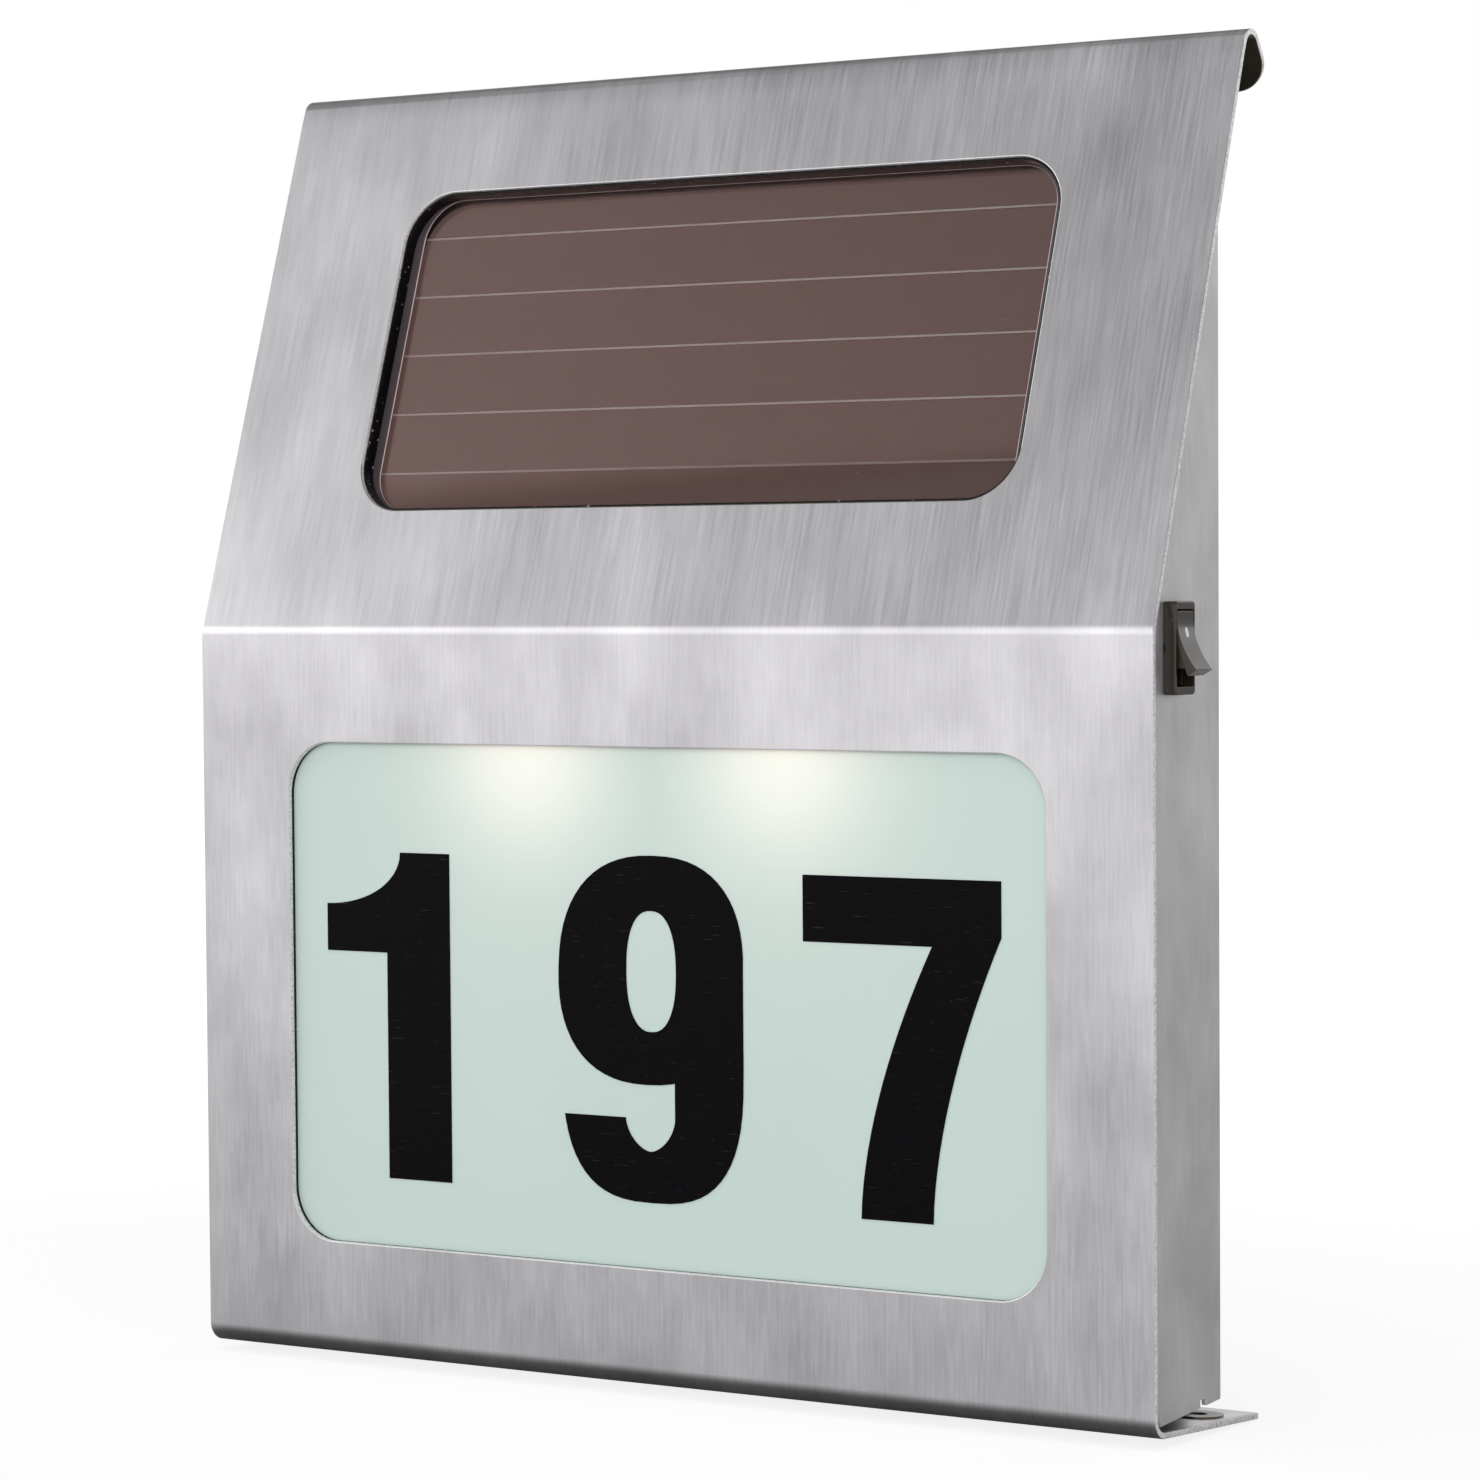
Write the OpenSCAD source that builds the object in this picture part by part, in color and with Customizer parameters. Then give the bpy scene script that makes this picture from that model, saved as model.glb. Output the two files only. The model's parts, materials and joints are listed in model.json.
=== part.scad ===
// Solar house-number light that hangs on a wall bracket.
// A folded sheet-metal cover carries a solar panel on its leaning upper face and a lit number
// panel below. A plastic tub behind it holds the battery, the electronics and the leads.
// Millimetres. X runs to the right seen from the front, Y from the front face back to the wall,
// Z up. The origin is on the wall face, at the centre of the bracket's four wall screw holes.

/* [Front cover] */
// Width of the folded front cover
cover_w = 190; // [180:1:210]
// Thickness of the cover sheet
sheet_t = 1; // [0.8:0.1:1.2]
// Distance from the number window's upper edge to the bend across the front
bend_gap = 19.4; // [18.4:0.2:22]
// Angle that the upper face leans back from upright
lean = 18; // [16:0.5:20]
// Depth of the bottom flange, from the front face
flange_d = 34.2; // [32:0.2:37]
// Angle that the bottom flange hangs down towards its back edge
flange_tilt = 2.7; // [0:0.1:3.5]
// Length of the flat part of the hanging flap at the top
flap_l = 8.8; // [8:0.2:10]
// Angle of the flap below level
flap_drop = 57; // [50:1:60]
// Radius of the flap's rounded corners
flap_corner_r = 6; // [2:0.5:6.5]
// Inside radius of the bottom bend
bottom_bend_r = 2.5; // [1.5:0.1:3]
// Inside radius of the bend across the front
middle_bend_r = 3.5; // [2:0.1:5]
// Inside radius of the top ridge
ridge_bend_r = 1.8; // [1.6:0.1:2.4]

/* [Number window] */
// Width of the number window
number_w = 151.6; // [146:0.2:153]
// Height of the number window
number_h = 86.4; // [84:0.2:87]
// Height of the number window's lower edge
number_z = 21.2; // [20.6:0.2:21.6]
// Radius of the number window's corners
number_r = 9; // [5:0.5:12]
// Thickness of the opal number panel
panel_t = 3; // [2.5:0.1:3.2]
// How far the panel reaches behind the cover past the window
number_lap = 4; // [3:0.5:4.5]
// Thickness of the number panel's seal
number_seal_t = 0.5; // [0.4:0.1:0.8]
// Height of the digits
digit_h = 57; // [48:1:60]
// Distance from the middle of one digit to the next
digit_pitch = 49.5; // [46:0.5:50]
// How far the digits stand below the window's middle
digit_low = 3.6; // [0:0.2:5]
// How far the digits stand left of the window's middle
digit_left = 1.4; // [0:0.2:2]
// Thickness of the digit film
digit_t = 0.15; // [0.1:0.05:0.2]

/* [Solar window] */
// Width of the solar window
solar_w = 132.4; // [126:0.2:134]
// Length of the solar window up the leaning face
solar_l = 58.4; // [54:0.2:59]
// Distance from the bend to the solar window's lower edge, up the leaning face
solar_s = 21.6; // [21:0.2:22.6]
// Distance from the solar window's upper edge to the start of the top ridge
ridge_gap = 17.4; // [16:0.2:24]
// Radius of the solar window's corners
solar_r = 9.4; // [5:0.2:12]
// How far the glass reaches behind the cover past the window
solar_lap = 2.5; // [2:0.1:3]
// Thickness of the solar panel's seal
solar_seal_t = 1.8; // [1.4:0.1:2]
// Thickness of the solar glass
glass_t = 2; // [1.6:0.1:2.2]
// Thickness of the cell layer
cell_t = 0.4; // [0.3:0.1:0.5]
// Number of cell strips across the panel
cell_strips = 6; // [4:1:8]
// Gap between two cell strips
cell_gap = 0.3; // [0.2:0.1:0.6]

/* [Side cheeks] */
// Depth of the side cheeks, from the front face
cheek_d = 22.1; // [21.2:0.1:24]
// Thickness of the cheeks
cheek_t = 0.9; // [0.7:0.1:1.2]
// How far the cheeks stand in from the cover's cut edges
cheek_inset = 0.4; // [0.3:0.1:1.5]
// Height of the cheeks' lower edge at the front
cheek_z = 3.4; // [3:0.2:4.2]
// How far the cheeks' lower edge rises to the back
cheek_rise = 1.6; // [0:0.2:2]
// Width of the relief notch in the cheeks' lower edge
notch_w = 1.9; // [1:0.1:3]
// Depth of the relief notch
notch_d = 1; // [0.6:0.1:1.6]

/* [Rear tub] */
// Wall thickness of the plastic tub
tub_wall = 1.6; // [1.4:0.1:1.8]
// Thickness of the tub's foam seal
tub_seal_t = 1; // [0.8:0.1:1.2]
// Height of the shoulder where the tub narrows
shoulder_z = 166; // [162:1:170]
// Radius of the screw bosses in the tub's corners
boss_r = 3.2; // [2.8:0.1:3.4]
// Radius of the welded studs
stud_r = 1.5; // [1.2:0.1:1.7]
// Distance across the corners of the stud nuts
nut_w = 6.35; // [6:0.05:7]
// Thickness of the stud nuts
nut_t = 2.4; // [2:0.1:3]

/* [Light tray and lamps] */
// Wall thickness of the white light tray
tray_wall = 1.2; // [1:0.1:1.4]
// Depth of the light tray
tray_d = 6.5; // [6:0.1:7]
// Thickness of the circuit boards
board_t = 1.2; // [1:0.1:1.6]
// Length of the lamp board
lamp_board_w = 76; // [70:1:100]
// Distance between the two lamps
lamp_pitch = 52; // [40:1:60]
// Radius of a lamp
lamp_r = 1.5; // [1.2:0.1:1.7]
// Width of the control board
control_w = 54; // [50:1:60]
// Height of the control board
control_h = 42; // [36:1:46]

/* [Battery] */
// Radius of the battery cell
battery_r = 7.2; // [7:0.05:7.25]
// Length of the battery cell without its tip
battery_l = 48.5; // [47.5:0.5:49]
// Wall thickness of the battery holder
holder_wall = 1; // [0.8:0.1:1.1]
// Thickness of the battery door
door_t = 1.6; // [1.4:0.1:2]
// How far the battery door slides open
door_travel = 25; // [15:1:28]

/* [Switch] */
// Height of the switch bezel
bezel_h = 14.5; // [14.4:0.1:15.5]
// Width of the switch bezel
bezel_w = 6.4; // [6.2:0.1:7]
// How far the bezel stands out of the cheek
bezel_t = 2.2; // [1.5:0.1:2.6]
// Width of the rocker
rocker_w = 4.6; // [4.2:0.1:4.6]
// Half the length of the rocker
rocker_l = 4.6; // [4.2:0.1:4.7]
// Height of the rocker's ends above its pivot
rocker_h = 4.45; // [4:0.05:4.6]
// Tilt of the rocker to each side of level
rocker_tilt = 17; // [12:1:18]
// Distance from the front face to the middle of the switch
switch_y = 7.1; // [7:0.1:8]
// Distance from the bend down to the middle of the switch
switch_drop = 2.9; // [2:0.1:4]

/* [Wall bracket] */
// Thickness of the bracket sheet
bracket_t = 1.5; // [1.2:0.1:1.6]
// Width of each hanging tab
tab_w = 9.5; // [6:0.5:12]
// Distance between the wall screw holes, across
wall_hole_w = 100; // [80:1:120]
// Distance between the wall screw holes, up
wall_hole_h = 125; // [100:1:130]
// Height of the middle of the wall screw holes
wall_hole_z = 107.5; // [100:0.5:115]
// Radius of the wall screw holes
wall_hole_r = 2.25; // [2:0.05:3]

/* [Hidden] */

$fn = 48;
eps = 0.01;
weld_gap = 0.1;
slip = 0.3;
bore_slip = 0.1;
pin_slip = 0.05;

// The bend, the ridge's centre, and the sheet's path through the whole cover, seen from the side
bend_z = number_z + number_h + bend_gap;
ridge_out_r = ridge_bend_r + sheet_t;
ridge_mid_r = ridge_bend_r + sheet_t / 2;
ridge_y = lean_point(solar_s + solar_l + ridge_gap, ridge_out_r)[0];
ridge_z = lean_point(solar_s + solar_l + ridge_gap, ridge_out_r)[1];
ridge_turn = 90 - lean + flap_drop;
flap_start = [ridge_y, ridge_z] + ridge_mid_r * [sin(flap_drop), cos(flap_drop)];
flap_end = flap_start + flap_l * [cos(flap_drop), -sin(flap_drop)];
ridge_corner = [ridge_y, ridge_z]
    + ridge_mid_r / cos(ridge_turn / 2) * [cos(ridge_bisector()), sin(ridge_bisector())];
flange_end = [flange_d, 0] + sheet_t / 2 * [sin(flange_tilt), cos(flange_tilt)];
cover_path = [flange_end,
              [sheet_t / 2, flange_end[1] + (flange_end[0] - sheet_t / 2) * tan(flange_tilt)],
              [sheet_t / 2, bend_z - sheet_t / 2 * tan(lean / 2)],
              ridge_corner,
              flap_end];
cover_radii = [bottom_bend_r, middle_bend_r, ridge_bend_r];
cover_d = flap_end[0] + sheet_t / 2 * sin(flap_drop);
flap_low_z = flap_end[1] - sheet_t / 2 * cos(flap_drop);

// Depths behind the front face, in the order in which the pieces are stacked
panel_y = sheet_t + number_seal_t;
tray_y = panel_y + panel_t;
tray_back_y = tray_y + tray_d;
glass_y = sheet_t + solar_seal_t;
cell_y = glass_y + glass_t;
back_sheet_y = cell_y + cell_t;
back_sheet_t = 0.4;
rim_y = sheet_t + tub_seal_t;
tub_back_y = cheek_d - slip;
tub_in_y = tub_back_y - tub_wall;
upper_back_y = back_sheet_y + back_sheet_t + 2 * slip + tub_wall;

// Half widths and heights of the tub, whose upper part is narrower than the lower
tub_hw = cover_w / 2 - cheek_inset - cheek_t - slip;
upper_hw = solar_w / 2 + solar_lap + slip + tub_wall;
tub_z = cheek_z + cheek_rise + 1;
tub_top_s = solar_s + solar_l + solar_lap + slip + tub_wall;
stud_x = tub_hw - tub_wall - boss_r - 2.2;
stud_zs = [tub_z + 8, number_z + number_h - 6];
stud_end_y = tub_back_y + nut_t + 1;

// The light tray, its posts and screws
tray_w = number_w + 2 * number_lap;
tray_h = number_h + 2 * number_lap;
tray_z = number_z - number_lap;
tray_top_z = tray_z + tray_h;
post_r = 3;
screw_r = 1.2;
screw_head_r = 2.4;
screw_head_t = 1.5;
screw_l = 6;
post_in = 10;
tray_post_x = tray_w / 2 - post_in;
tray_post_zs = [tray_z + post_in, tray_top_z - post_in - post_r];
lamp_y = (tray_y + tray_back_y - tray_wall) / 2;
lamp_board_d = 4.4;
lamp_l = 3.2;

// The control board behind the tray
control_x = 35;
control_z = 38;
control_y = 13.6;
control_back_y = control_y + board_t;
control_post_x = control_w / 2 - 4;
control_post_zs = [control_z + 4, control_z + control_h - 4];

// The battery, its holder and the door behind it
tip_l = 2;
tip_r = 2.7;
cell_slip = 0.4;
contact_t = 0.5;
spring_l = 2.8;
battery_x = -32;
holder_z = tray_top_z + board_t + 1.6;
battery_z = holder_z + holder_wall + cell_slip + battery_r;
battery_y = tub_in_y - 0.9 - battery_r;
cavity_l = battery_l + tip_l + spring_l + 2 * contact_t + bore_slip;
cavity_x0 = battery_x - cavity_l / 2;
cavity_x1 = battery_x + cavity_l / 2;
cavity_h = 2 * (battery_r + cell_slip);
cavity_y = battery_y - battery_r - cell_slip;
battery_x0 = cavity_x0 + contact_t + spring_l;
door_lap = 3;
door_h = cavity_h + 2 * door_lap;
door_l = cavity_l + 2 * door_lap;
door_z = battery_z - door_h / 2;
door_y = tub_back_y + bore_slip;
rail_lip = 1.8;
rail_wall = 1.4;

// The switch in the right cheek
cheek_x = cover_w / 2 - cheek_inset;
switch_z = bend_z - switch_drop;
bezel_wall = 1.25;
well_h = bezel_h - 2 * bezel_wall;
well_w = rocker_w + 2 * bore_slip;
body_wall = 0.5;
body_w = well_w + 2 * body_wall;
body_h = well_h + 1.5;
body_d = 10.5;
pivot_x = cheek_x - bore_slip;
pin_r = 0.6;
pin_l = 0.4;
hub_r = 2.2;
face_dip = 1.1;
terminal_t = 0.5;
terminal_w = 2.4;
terminal_l = 5.5;
terminal_pitch = 6;

// The bracket: wall plane, hanging tabs, and the lip that the flange rests against
plate_gap = 0.4;
wall_y = cover_d + plate_gap + bracket_t;
plate_y = wall_y - bracket_t / 2;
bracket_bend_r = 1;
tab_x = upper_hw + 1.7;
bracket_hw = tab_x + tab_w;
tab_top_z = ridge_z + sqrt(pow(ridge_bend_r, 2) - pow(bracket_t / 2, 2)) - slip;
step_z = flap_low_z - 1.2 - bracket_t / 2;
foot_y = flange_d + slip + bracket_t / 2;
foot_z = 12;
plate_top_z = step_z - 14;

nut_flange_r = 4.3;
nut_flange_t = 0.3;
nut_shank_r = 2.9;
nut_bore_r = 1.65;
flange_nut_x = cover_w / 2 - 6;
flange_nut_in = 9.7;

lead_r = 0.6;
lead_bend_r = 1.2 * lead_r;
lead_trim = 0.6 * lead_r;
lead_gap = 1.8;
lead_drop = 10;
socket_w = 6;
socket_d = 3.2;
socket_pitch = 2 * socket_w;
socket_x = control_x + 2;

// Depth of a plane that lies off behind the leaning face, at height z
function lean_y(z, off) = (z - bend_z) * tan(lean) + off / cos(lean);
// Height at which that plane is at depth y
function lean_z(y, off) = bend_z + (y - off / cos(lean)) / tan(lean);
// Depth and height of a point s up the leaning face and off behind it
function lean_point(s, off) = [s * sin(lean) + off * cos(lean), bend_z + s * cos(lean) - off * sin(lean)];
// Direction that halves the angle between the outward normals at the ridge
function ridge_bisector() = ((180 - lean) + (90 - flap_drop)) / 2;

// Unit vector to the left of a heading
function left(angle) = [-sin(angle), cos(angle)];
function heading(a, b) = atan2(b[1] - a[1], b[0] - a[0]);
function wrap(angle) = angle > 180 ? angle - 360 : angle < -180 ? angle + 360 : angle;

// One face of a folded sheet, side units to the left of its middle line. Each corner of the path
// is an arc about a centre that both faces share.
function sheet_face(path, radii, thick, side, steps) =
    [for (i = [0 : len(path) - 1])
        let (last = len(path) - 1,
             a0 = heading(path[max(i, 1) - 1], path[max(i, 1)]),
             a1 = heading(path[min(i, last - 1)], path[min(i, last - 1) + 1]))
        if (i == 0 || i == last)
            path[i] + side * left(i == 0 ? a1 : a0)
        else
            each let (turn = wrap(a1 - a0),
                      s = sign(turn),
                      mid_r = radii[i - 1] + thick / 2,
                      start = path[i] - mid_r * tan(abs(turn) / 2) * [cos(a0), sin(a0)],
                      centre = start + s * mid_r * left(a0))
                [for (k = [0 : steps]) centre - s * (mid_r - s * side) * left(a0 + turn * k / steps)]];

function backwards(list) = [for (i = [len(list) - 1 : -1 : 0]) list[i]];

// Outline of a sheet folded along a path
function sheet_outline(path, radii, thick, steps = 12) =
    concat(sheet_face(path, radii, thick, thick / 2, steps),
           backwards(sheet_face(path, radii, thick, -thick / 2, steps)));

// Points of an oval; a squareness above 2 fills out its corners
function oval(centre, rx, ry, squareness = 2, steps = 60) =
    [for (i = [0 : steps - 1])
        let (c = cos(360 * i / steps), s = sin(360 * i / steps))
        centre + [rx * sign(c) * pow(abs(c), 2 / squareness), ry * sign(s) * pow(abs(s), 2 / squareness)]];

// Moves the model from its front face and flange to the bracket's wall face
module in_place() translate([0, -wall_y, -wall_hole_z]) children();

// Frame of the leaning face: X across, Y into the light, Z up the face from the bend
module on_lean() translate([0, 0, bend_z]) rotate([-lean, 0, 0]) children();

// Places of the two flange nuts: Z stands square on the flange, from its underside
module on_flange() {
    for (side = [-1, 1])
        translate([side * flange_nut_x, flange_d, 0]) rotate([-flange_tilt, 0, 0])
            translate([0, -flange_nut_in, 0]) children();
}

// A side view, drawn as depth and height, made w wide about the middle
module across(w) translate([-w / 2, 0, 0]) rotate([90, 0, 90]) linear_extrude(w) children();

// A front view, drawn as width and height, made thick from depth y
module facing(y, thick) translate([0, y + thick, 0]) rotate([90, 0, 0]) linear_extrude(thick) children();

// Rectangle with round corners, centred across and standing on zero
module rounded(w, h, r) {
    translate([-w / 2, r]) square([w, h - 2 * r]);
    translate([-w / 2 + r, 0]) square([w - 2 * r, h]);
    for (x = [-w / 2 + r, w / 2 - r], z = [r, h - r]) translate([x, z]) circle(r);
}

// A round bar along Y
module pin_y(r, y0, y1) translate([0, y0, 0]) rotate([-90, 0, 0]) cylinder(r = r, h = y1 - y0);

module both_sides(x) for (side = [-1, 1]) translate([side * x, 0, 0]) children();

// Side view of the tub's space: inset from its outer walls, from depth near back to its own back
module tub_side(inset, near, lower_far, upper_far) {
    polygon([[near, tub_z + inset],
             [lower_far, tub_z + inset],
             [lower_far, lean_z(lower_far, upper_far)],
             lean_point(tub_top_s - inset, upper_far),
             lean_point(tub_top_s - inset, near),
             [near, lean_z(near, near)]]);
}

// The tub's space as a solid: the wide lower part and the narrow upper part
module tub_block(inset, near, lower_far, upper_far) {
    across(2 * (tub_hw - inset)) intersection() {
        tub_side(inset, near, lower_far, upper_far);
        square([tub_back_y + 1, shoulder_z - inset]);
    }
    across(2 * (upper_hw - inset)) tub_side(inset, near, lower_far, upper_far);
}

module wall_bracket() {
    color("silver") in_place() difference() {
        union() {
            across(2 * bracket_hw) polygon(sheet_outline(
                [[foot_y, 0], [foot_y, foot_z], [plate_y, foot_z], [plate_y, plate_top_z]],
                [bracket_bend_r, bracket_bend_r], bracket_t));
            both_sides(tab_x + tab_w / 2) across(tab_w) polygon(sheet_outline(
                [[plate_y, plate_top_z - 1], [plate_y, step_z], [ridge_y, step_z], [ridge_y, tab_top_z]],
                [bracket_bend_r, bracket_bend_r], bracket_t));
        }
        for (x = [-1, 1], z = [-1, 1])
            translate([x * wall_hole_w / 2, 0, wall_hole_z + z * wall_hole_h / 2])
                pin_y(wall_hole_r, wall_y - 2 * bracket_t, wall_y + 1);
    }
}

module front_cover() {
    color("lightgray") in_place() difference() {
        across(cover_w) polygon(sheet_outline(cover_path, cover_radii, sheet_t));
        facing(-1, sheet_t + 2) translate([0, number_z]) rounded(number_w, number_h, number_r);
        on_lean() facing(-1, sheet_t + 2) translate([0, solar_s]) rounded(solar_w, solar_l, solar_r);
        on_flange() translate([0, 0, -1]) cylinder(r = nut_shank_r, h = sheet_t + 2);
        for (side = [-1, 1]) flap_corner(side);
    }
}

// What is cut away to round one corner of the hanging flap
module flap_corner(side) {
    translate([side * (cover_w / 2 - flap_corner_r), flap_end[0], flap_end[1]])
        rotate([-90 - flap_drop, 0, 0])
            translate([0, -flap_corner_r, -sheet_t])
                linear_extrude(2 * sheet_t) difference() {
                    translate([side > 0 ? 0 : -flap_corner_r - 1, 0])
                        square([flap_corner_r + 1, flap_corner_r + 1]);
                    circle(flap_corner_r);
                }
}

// One cheek as a plate: its outer face is at x, and it grows inwards
module cheek() {
    near = sheet_t + weld_gap;
    difference() {
        translate([cheek_x - cheek_t, 0, 0]) rotate([90, 0, 90]) linear_extrude(cheek_t)
            polygon([[near, cheek_z + 2], [near + 1.5, cheek_z], [cheek_d, cheek_z + cheek_rise],
                     [cheek_d, lean_z(cheek_d, near)], [near, lean_z(near, near)]]);
        translate([cheek_x - 2 * cheek_t, cheek_d * 0.7, cheek_z - 1])
            cube([3 * cheek_t, notch_w, cheek_rise * 0.8 + notch_d + 1]);
    }
}

module left_cheek() {
    color("darkgray") in_place() mirror([1, 0, 0]) cheek();
}

module right_cheek() {
    color("darkgray") in_place() difference() {
        cheek();
        switch_hole(bore_slip);
    }
}

module stud_places() {
    for (z = stud_zs) both_sides(stud_x) translate([0, 0, z]) children();
}

module weld_studs() {
    color("gray") in_place() stud_places() pin_y(stud_r, sheet_t, stud_end_y);
}

module flange_nuts() {
    color("gray") in_place() on_flange() difference() {
        union() {
            cylinder(r = nut_shank_r, h = sheet_t);
            translate([0, 0, sheet_t]) cylinder(r = nut_flange_r, h = nut_flange_t);
        }
        translate([0, 0, -1]) cylinder(r = nut_bore_r, h = sheet_t + nut_flange_t + 2);
    }
}

module tub_seal() {
    color("black") in_place() difference() {
        tub_block(0, sheet_t, rim_y, rim_y);
        tub_block(tub_wall, sheet_t - 1, rim_y + 1, rim_y + 1);
    }
}

module rear_tub() {
    color("dimgray") in_place() {
        difference() {
            union() {
                difference() {
                    tub_block(0, rim_y, tub_back_y, upper_back_y);
                    tub_block(tub_wall, rim_y - 1, tub_in_y, upper_back_y - tub_wall);
                }
                stud_places() pin_y(boss_r, rim_y, tub_in_y + eps);
                tray_post_places() pin_y(post_r, tray_back_y, tub_in_y + eps);
                control_post_places() pin_y(post_r, control_back_y, tub_in_y + eps);
                door_rails();
            }
            stud_places() pin_y(stud_r + bore_slip, rim_y - 1, tub_back_y + 1);
            tray_post_places() pin_y(screw_r + pin_slip, tray_back_y - 1, tray_back_y + screw_l);
            control_post_places() pin_y(screw_r + pin_slip, control_y, control_y + screw_l);
            translate([cavity_x0, tub_in_y - 1, battery_z - cavity_h / 2])
                cube([cavity_l, tub_wall + 2, cavity_h]);
            switch_hole(slip);
        }
    }
}

// Rails above and below the battery door, with lips over its edges, and the stop that it closes on
module door_rails() {
    lip_y = door_y + door_t + slip;
    for (side = [-1, 1])
        translate([cavity_x0 - door_lap, tub_back_y, battery_z]) mirror([0, 0, side < 0 ? 1 : 0]) {
            translate([0, -eps, door_h / 2 + slip])
                cube([door_l, lip_y - tub_back_y + rail_wall + eps, rail_wall]);
            translate([0, lip_y - tub_back_y, door_h / 2 - rail_lip])
                cube([door_l, rail_wall, rail_lip + slip + rail_wall]);
        }
    translate([cavity_x1 + door_lap + slip, tub_back_y - eps, door_z])
        cube([rail_wall, bore_slip + door_t + eps, door_h]);
}

module tub_nuts() {
    color("silver") in_place() stud_places() difference() {
        translate([0, tub_back_y, 0]) rotate([-90, 0, 0]) cylinder(r = nut_w / 2, h = nut_t, $fn = 6);
        pin_y(stud_r + pin_slip, tub_back_y - 1, tub_back_y + nut_t + 1);
    }
}

module battery_door() {
    color("dimgray") in_place() translate([cavity_x0 - door_lap, door_y, door_z]) {
        cube([door_l, door_t, door_h]);
        for (i = [0 : 3]) translate([5 + 2.4 * i, door_t - eps, 6])
            cube([1.2, 0.9 + eps, door_h - 12]);
    }
}

module number_seal() {
    color("black") in_place() facing(sheet_t, number_seal_t) difference() {
        translate([0, tray_z]) rounded(tray_w, tray_h, 3);
        translate([0, number_z - slip])
            rounded(number_w + 2 * slip, number_h + 2 * slip, number_r + slip);
    }
}

module number_panel() {
    color("honeydew") in_place() facing(panel_y, panel_t)
        translate([0, tray_z]) rounded(tray_w, tray_h, 3);
}

// Puts a digit in its place, -1, 0 or 1. It is drawn on a foot line at zero, in digit heights
module digit_film(place) {
    color("black") in_place() facing(panel_y - digit_t, digit_t)
        translate([place * digit_pitch - digit_left, number_z + (number_h - digit_h) / 2 - digit_low])
            scale(digit_h) children();
}

// A bold figure one: a stem, and a flag whose upper edge sweeps up to the top
module digit_one() {
    foot = 0.008;
    top = 0.993;
    sweep = [for (a = [0 : 6 : 90]) [-0.31 + 0.28 * sin(a), top - 0.16 * cos(a)]];
    digit_film(-1) polygon(concat(
        [[0.155, foot], [-0.082, foot], [-0.082, 0.69], [-0.31, 0.69]], sweep, [[0.155, top]]));
}

// A bold figure nine: a leaning ring with an oval eye, and a tail round the lower side
module digit_nine() {
    middle = 0.674;
    right = 0.3267;
    notch = 0.242;
    inner = 0.0875;
    // The ring's outline, inset by gap
    function ring(gap) = [for (p = oval([0.001, middle], right - 0.001 - gap, 0.334 - gap, 2.37))
        [p.x + 0.038 * (p.y - middle), p.y]];
    digit_film(0) translate([0.0115, 0]) {
        difference() {
            polygon(ring(0));
            polygon(oval([0.006, 0.671], 0.088, 0.176, 2.37));
        }
        difference() {
            union() {
                polygon(oval([0.006, 0.4], right - 0.006, 0.404, 2.78));
                translate([inner, 0.4]) square([right - inner, middle - 0.4]);
            }
            polygon(oval([0, notch], inner, 0.096, 1.7));
            translate([-0.5, notch]) square([0.5, 0.6]);
            translate([-0.5, notch]) square([0.5 + inner, 0.35]);
            polygon(ring(0.002));
        }
    }
}

// A bold figure seven: a bar, and a leg that curves down to a narrower foot
module digit_seven() {
    rise = 1.7;
    steps = 16;
    leg_right = [for (i = [0 : steps]) [0.106 + 0.224 * pow(i / steps, rise), 0.81 * i / steps]];
    leg_left = [for (i = [steps : -1 : 0]) [-0.132 + 0.237 * pow(i / steps, rise), 0.778 * i / steps]];
    digit_film(1) polygon(concat(leg_right, [[0.33, 0.968], [-0.324, 0.968], [-0.324, 0.778]], leg_left));
}

// A plate on the leaning face that reaches past the solar window by lap
module solar_plate(y, thick, lap, r) {
    on_lean() facing(y, thick)
        translate([0, solar_s - lap]) rounded(solar_w + 2 * lap, solar_l + 2 * lap, r);
}

module solar_seal() {
    color("black") in_place() difference() {
        solar_plate(sheet_t, solar_seal_t, solar_lap, 2);
        solar_plate(sheet_t - 1, solar_seal_t + 2, slip, solar_r + slip);
    }
}

module solar_glass() {
    color("lightblue") in_place() solar_plate(glass_y, glass_t, solar_lap, 2);
}

module solar_cells() {
    strip_l = (solar_l + 2 * solar_lap - (cell_strips - 1) * cell_gap) / cell_strips;
    color("saddlebrown") in_place() on_lean() for (i = [0 : cell_strips - 1])
        translate([-solar_w / 2 - solar_lap, cell_y, solar_s - solar_lap + i * (strip_l + cell_gap)])
            cube([solar_w + 2 * solar_lap, cell_t, strip_l]);
}

module solar_back_sheet() {
    color("white") in_place() solar_plate(back_sheet_y, back_sheet_t, solar_lap, 2);
}

module tray_post_places() {
    for (z = tray_post_zs) both_sides(tray_post_x) translate([0, 0, z]) children();
}

module light_tray() {
    color("white") in_place() difference() {
        facing(tray_y, tray_d) translate([0, tray_z]) rounded(tray_w, tray_h, 3);
        facing(tray_y - 1, tray_d - tray_wall + 1)
            translate([0, tray_z + tray_wall]) rounded(tray_w - 2 * tray_wall, tray_h - 2 * tray_wall, 2);
        tray_post_places() pin_y(screw_r + bore_slip, tray_y, tray_back_y + 1);
        both_sides(lamp_pitch / 2) translate([0, lamp_y, tray_top_z - tray_wall - 1])
            cylinder(r = lamp_r + bore_slip, h = tray_wall + 2);
    }
}

// A pan-head screw whose head ends at depth y
module panel_screw(y) {
    pin_y(screw_head_r, y - screw_head_t, y);
    pin_y(screw_r, y - eps, y + screw_l);
}

module tray_screws() {
    color("silver") in_place() tray_post_places() panel_screw(tray_back_y - tray_wall);
}

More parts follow.
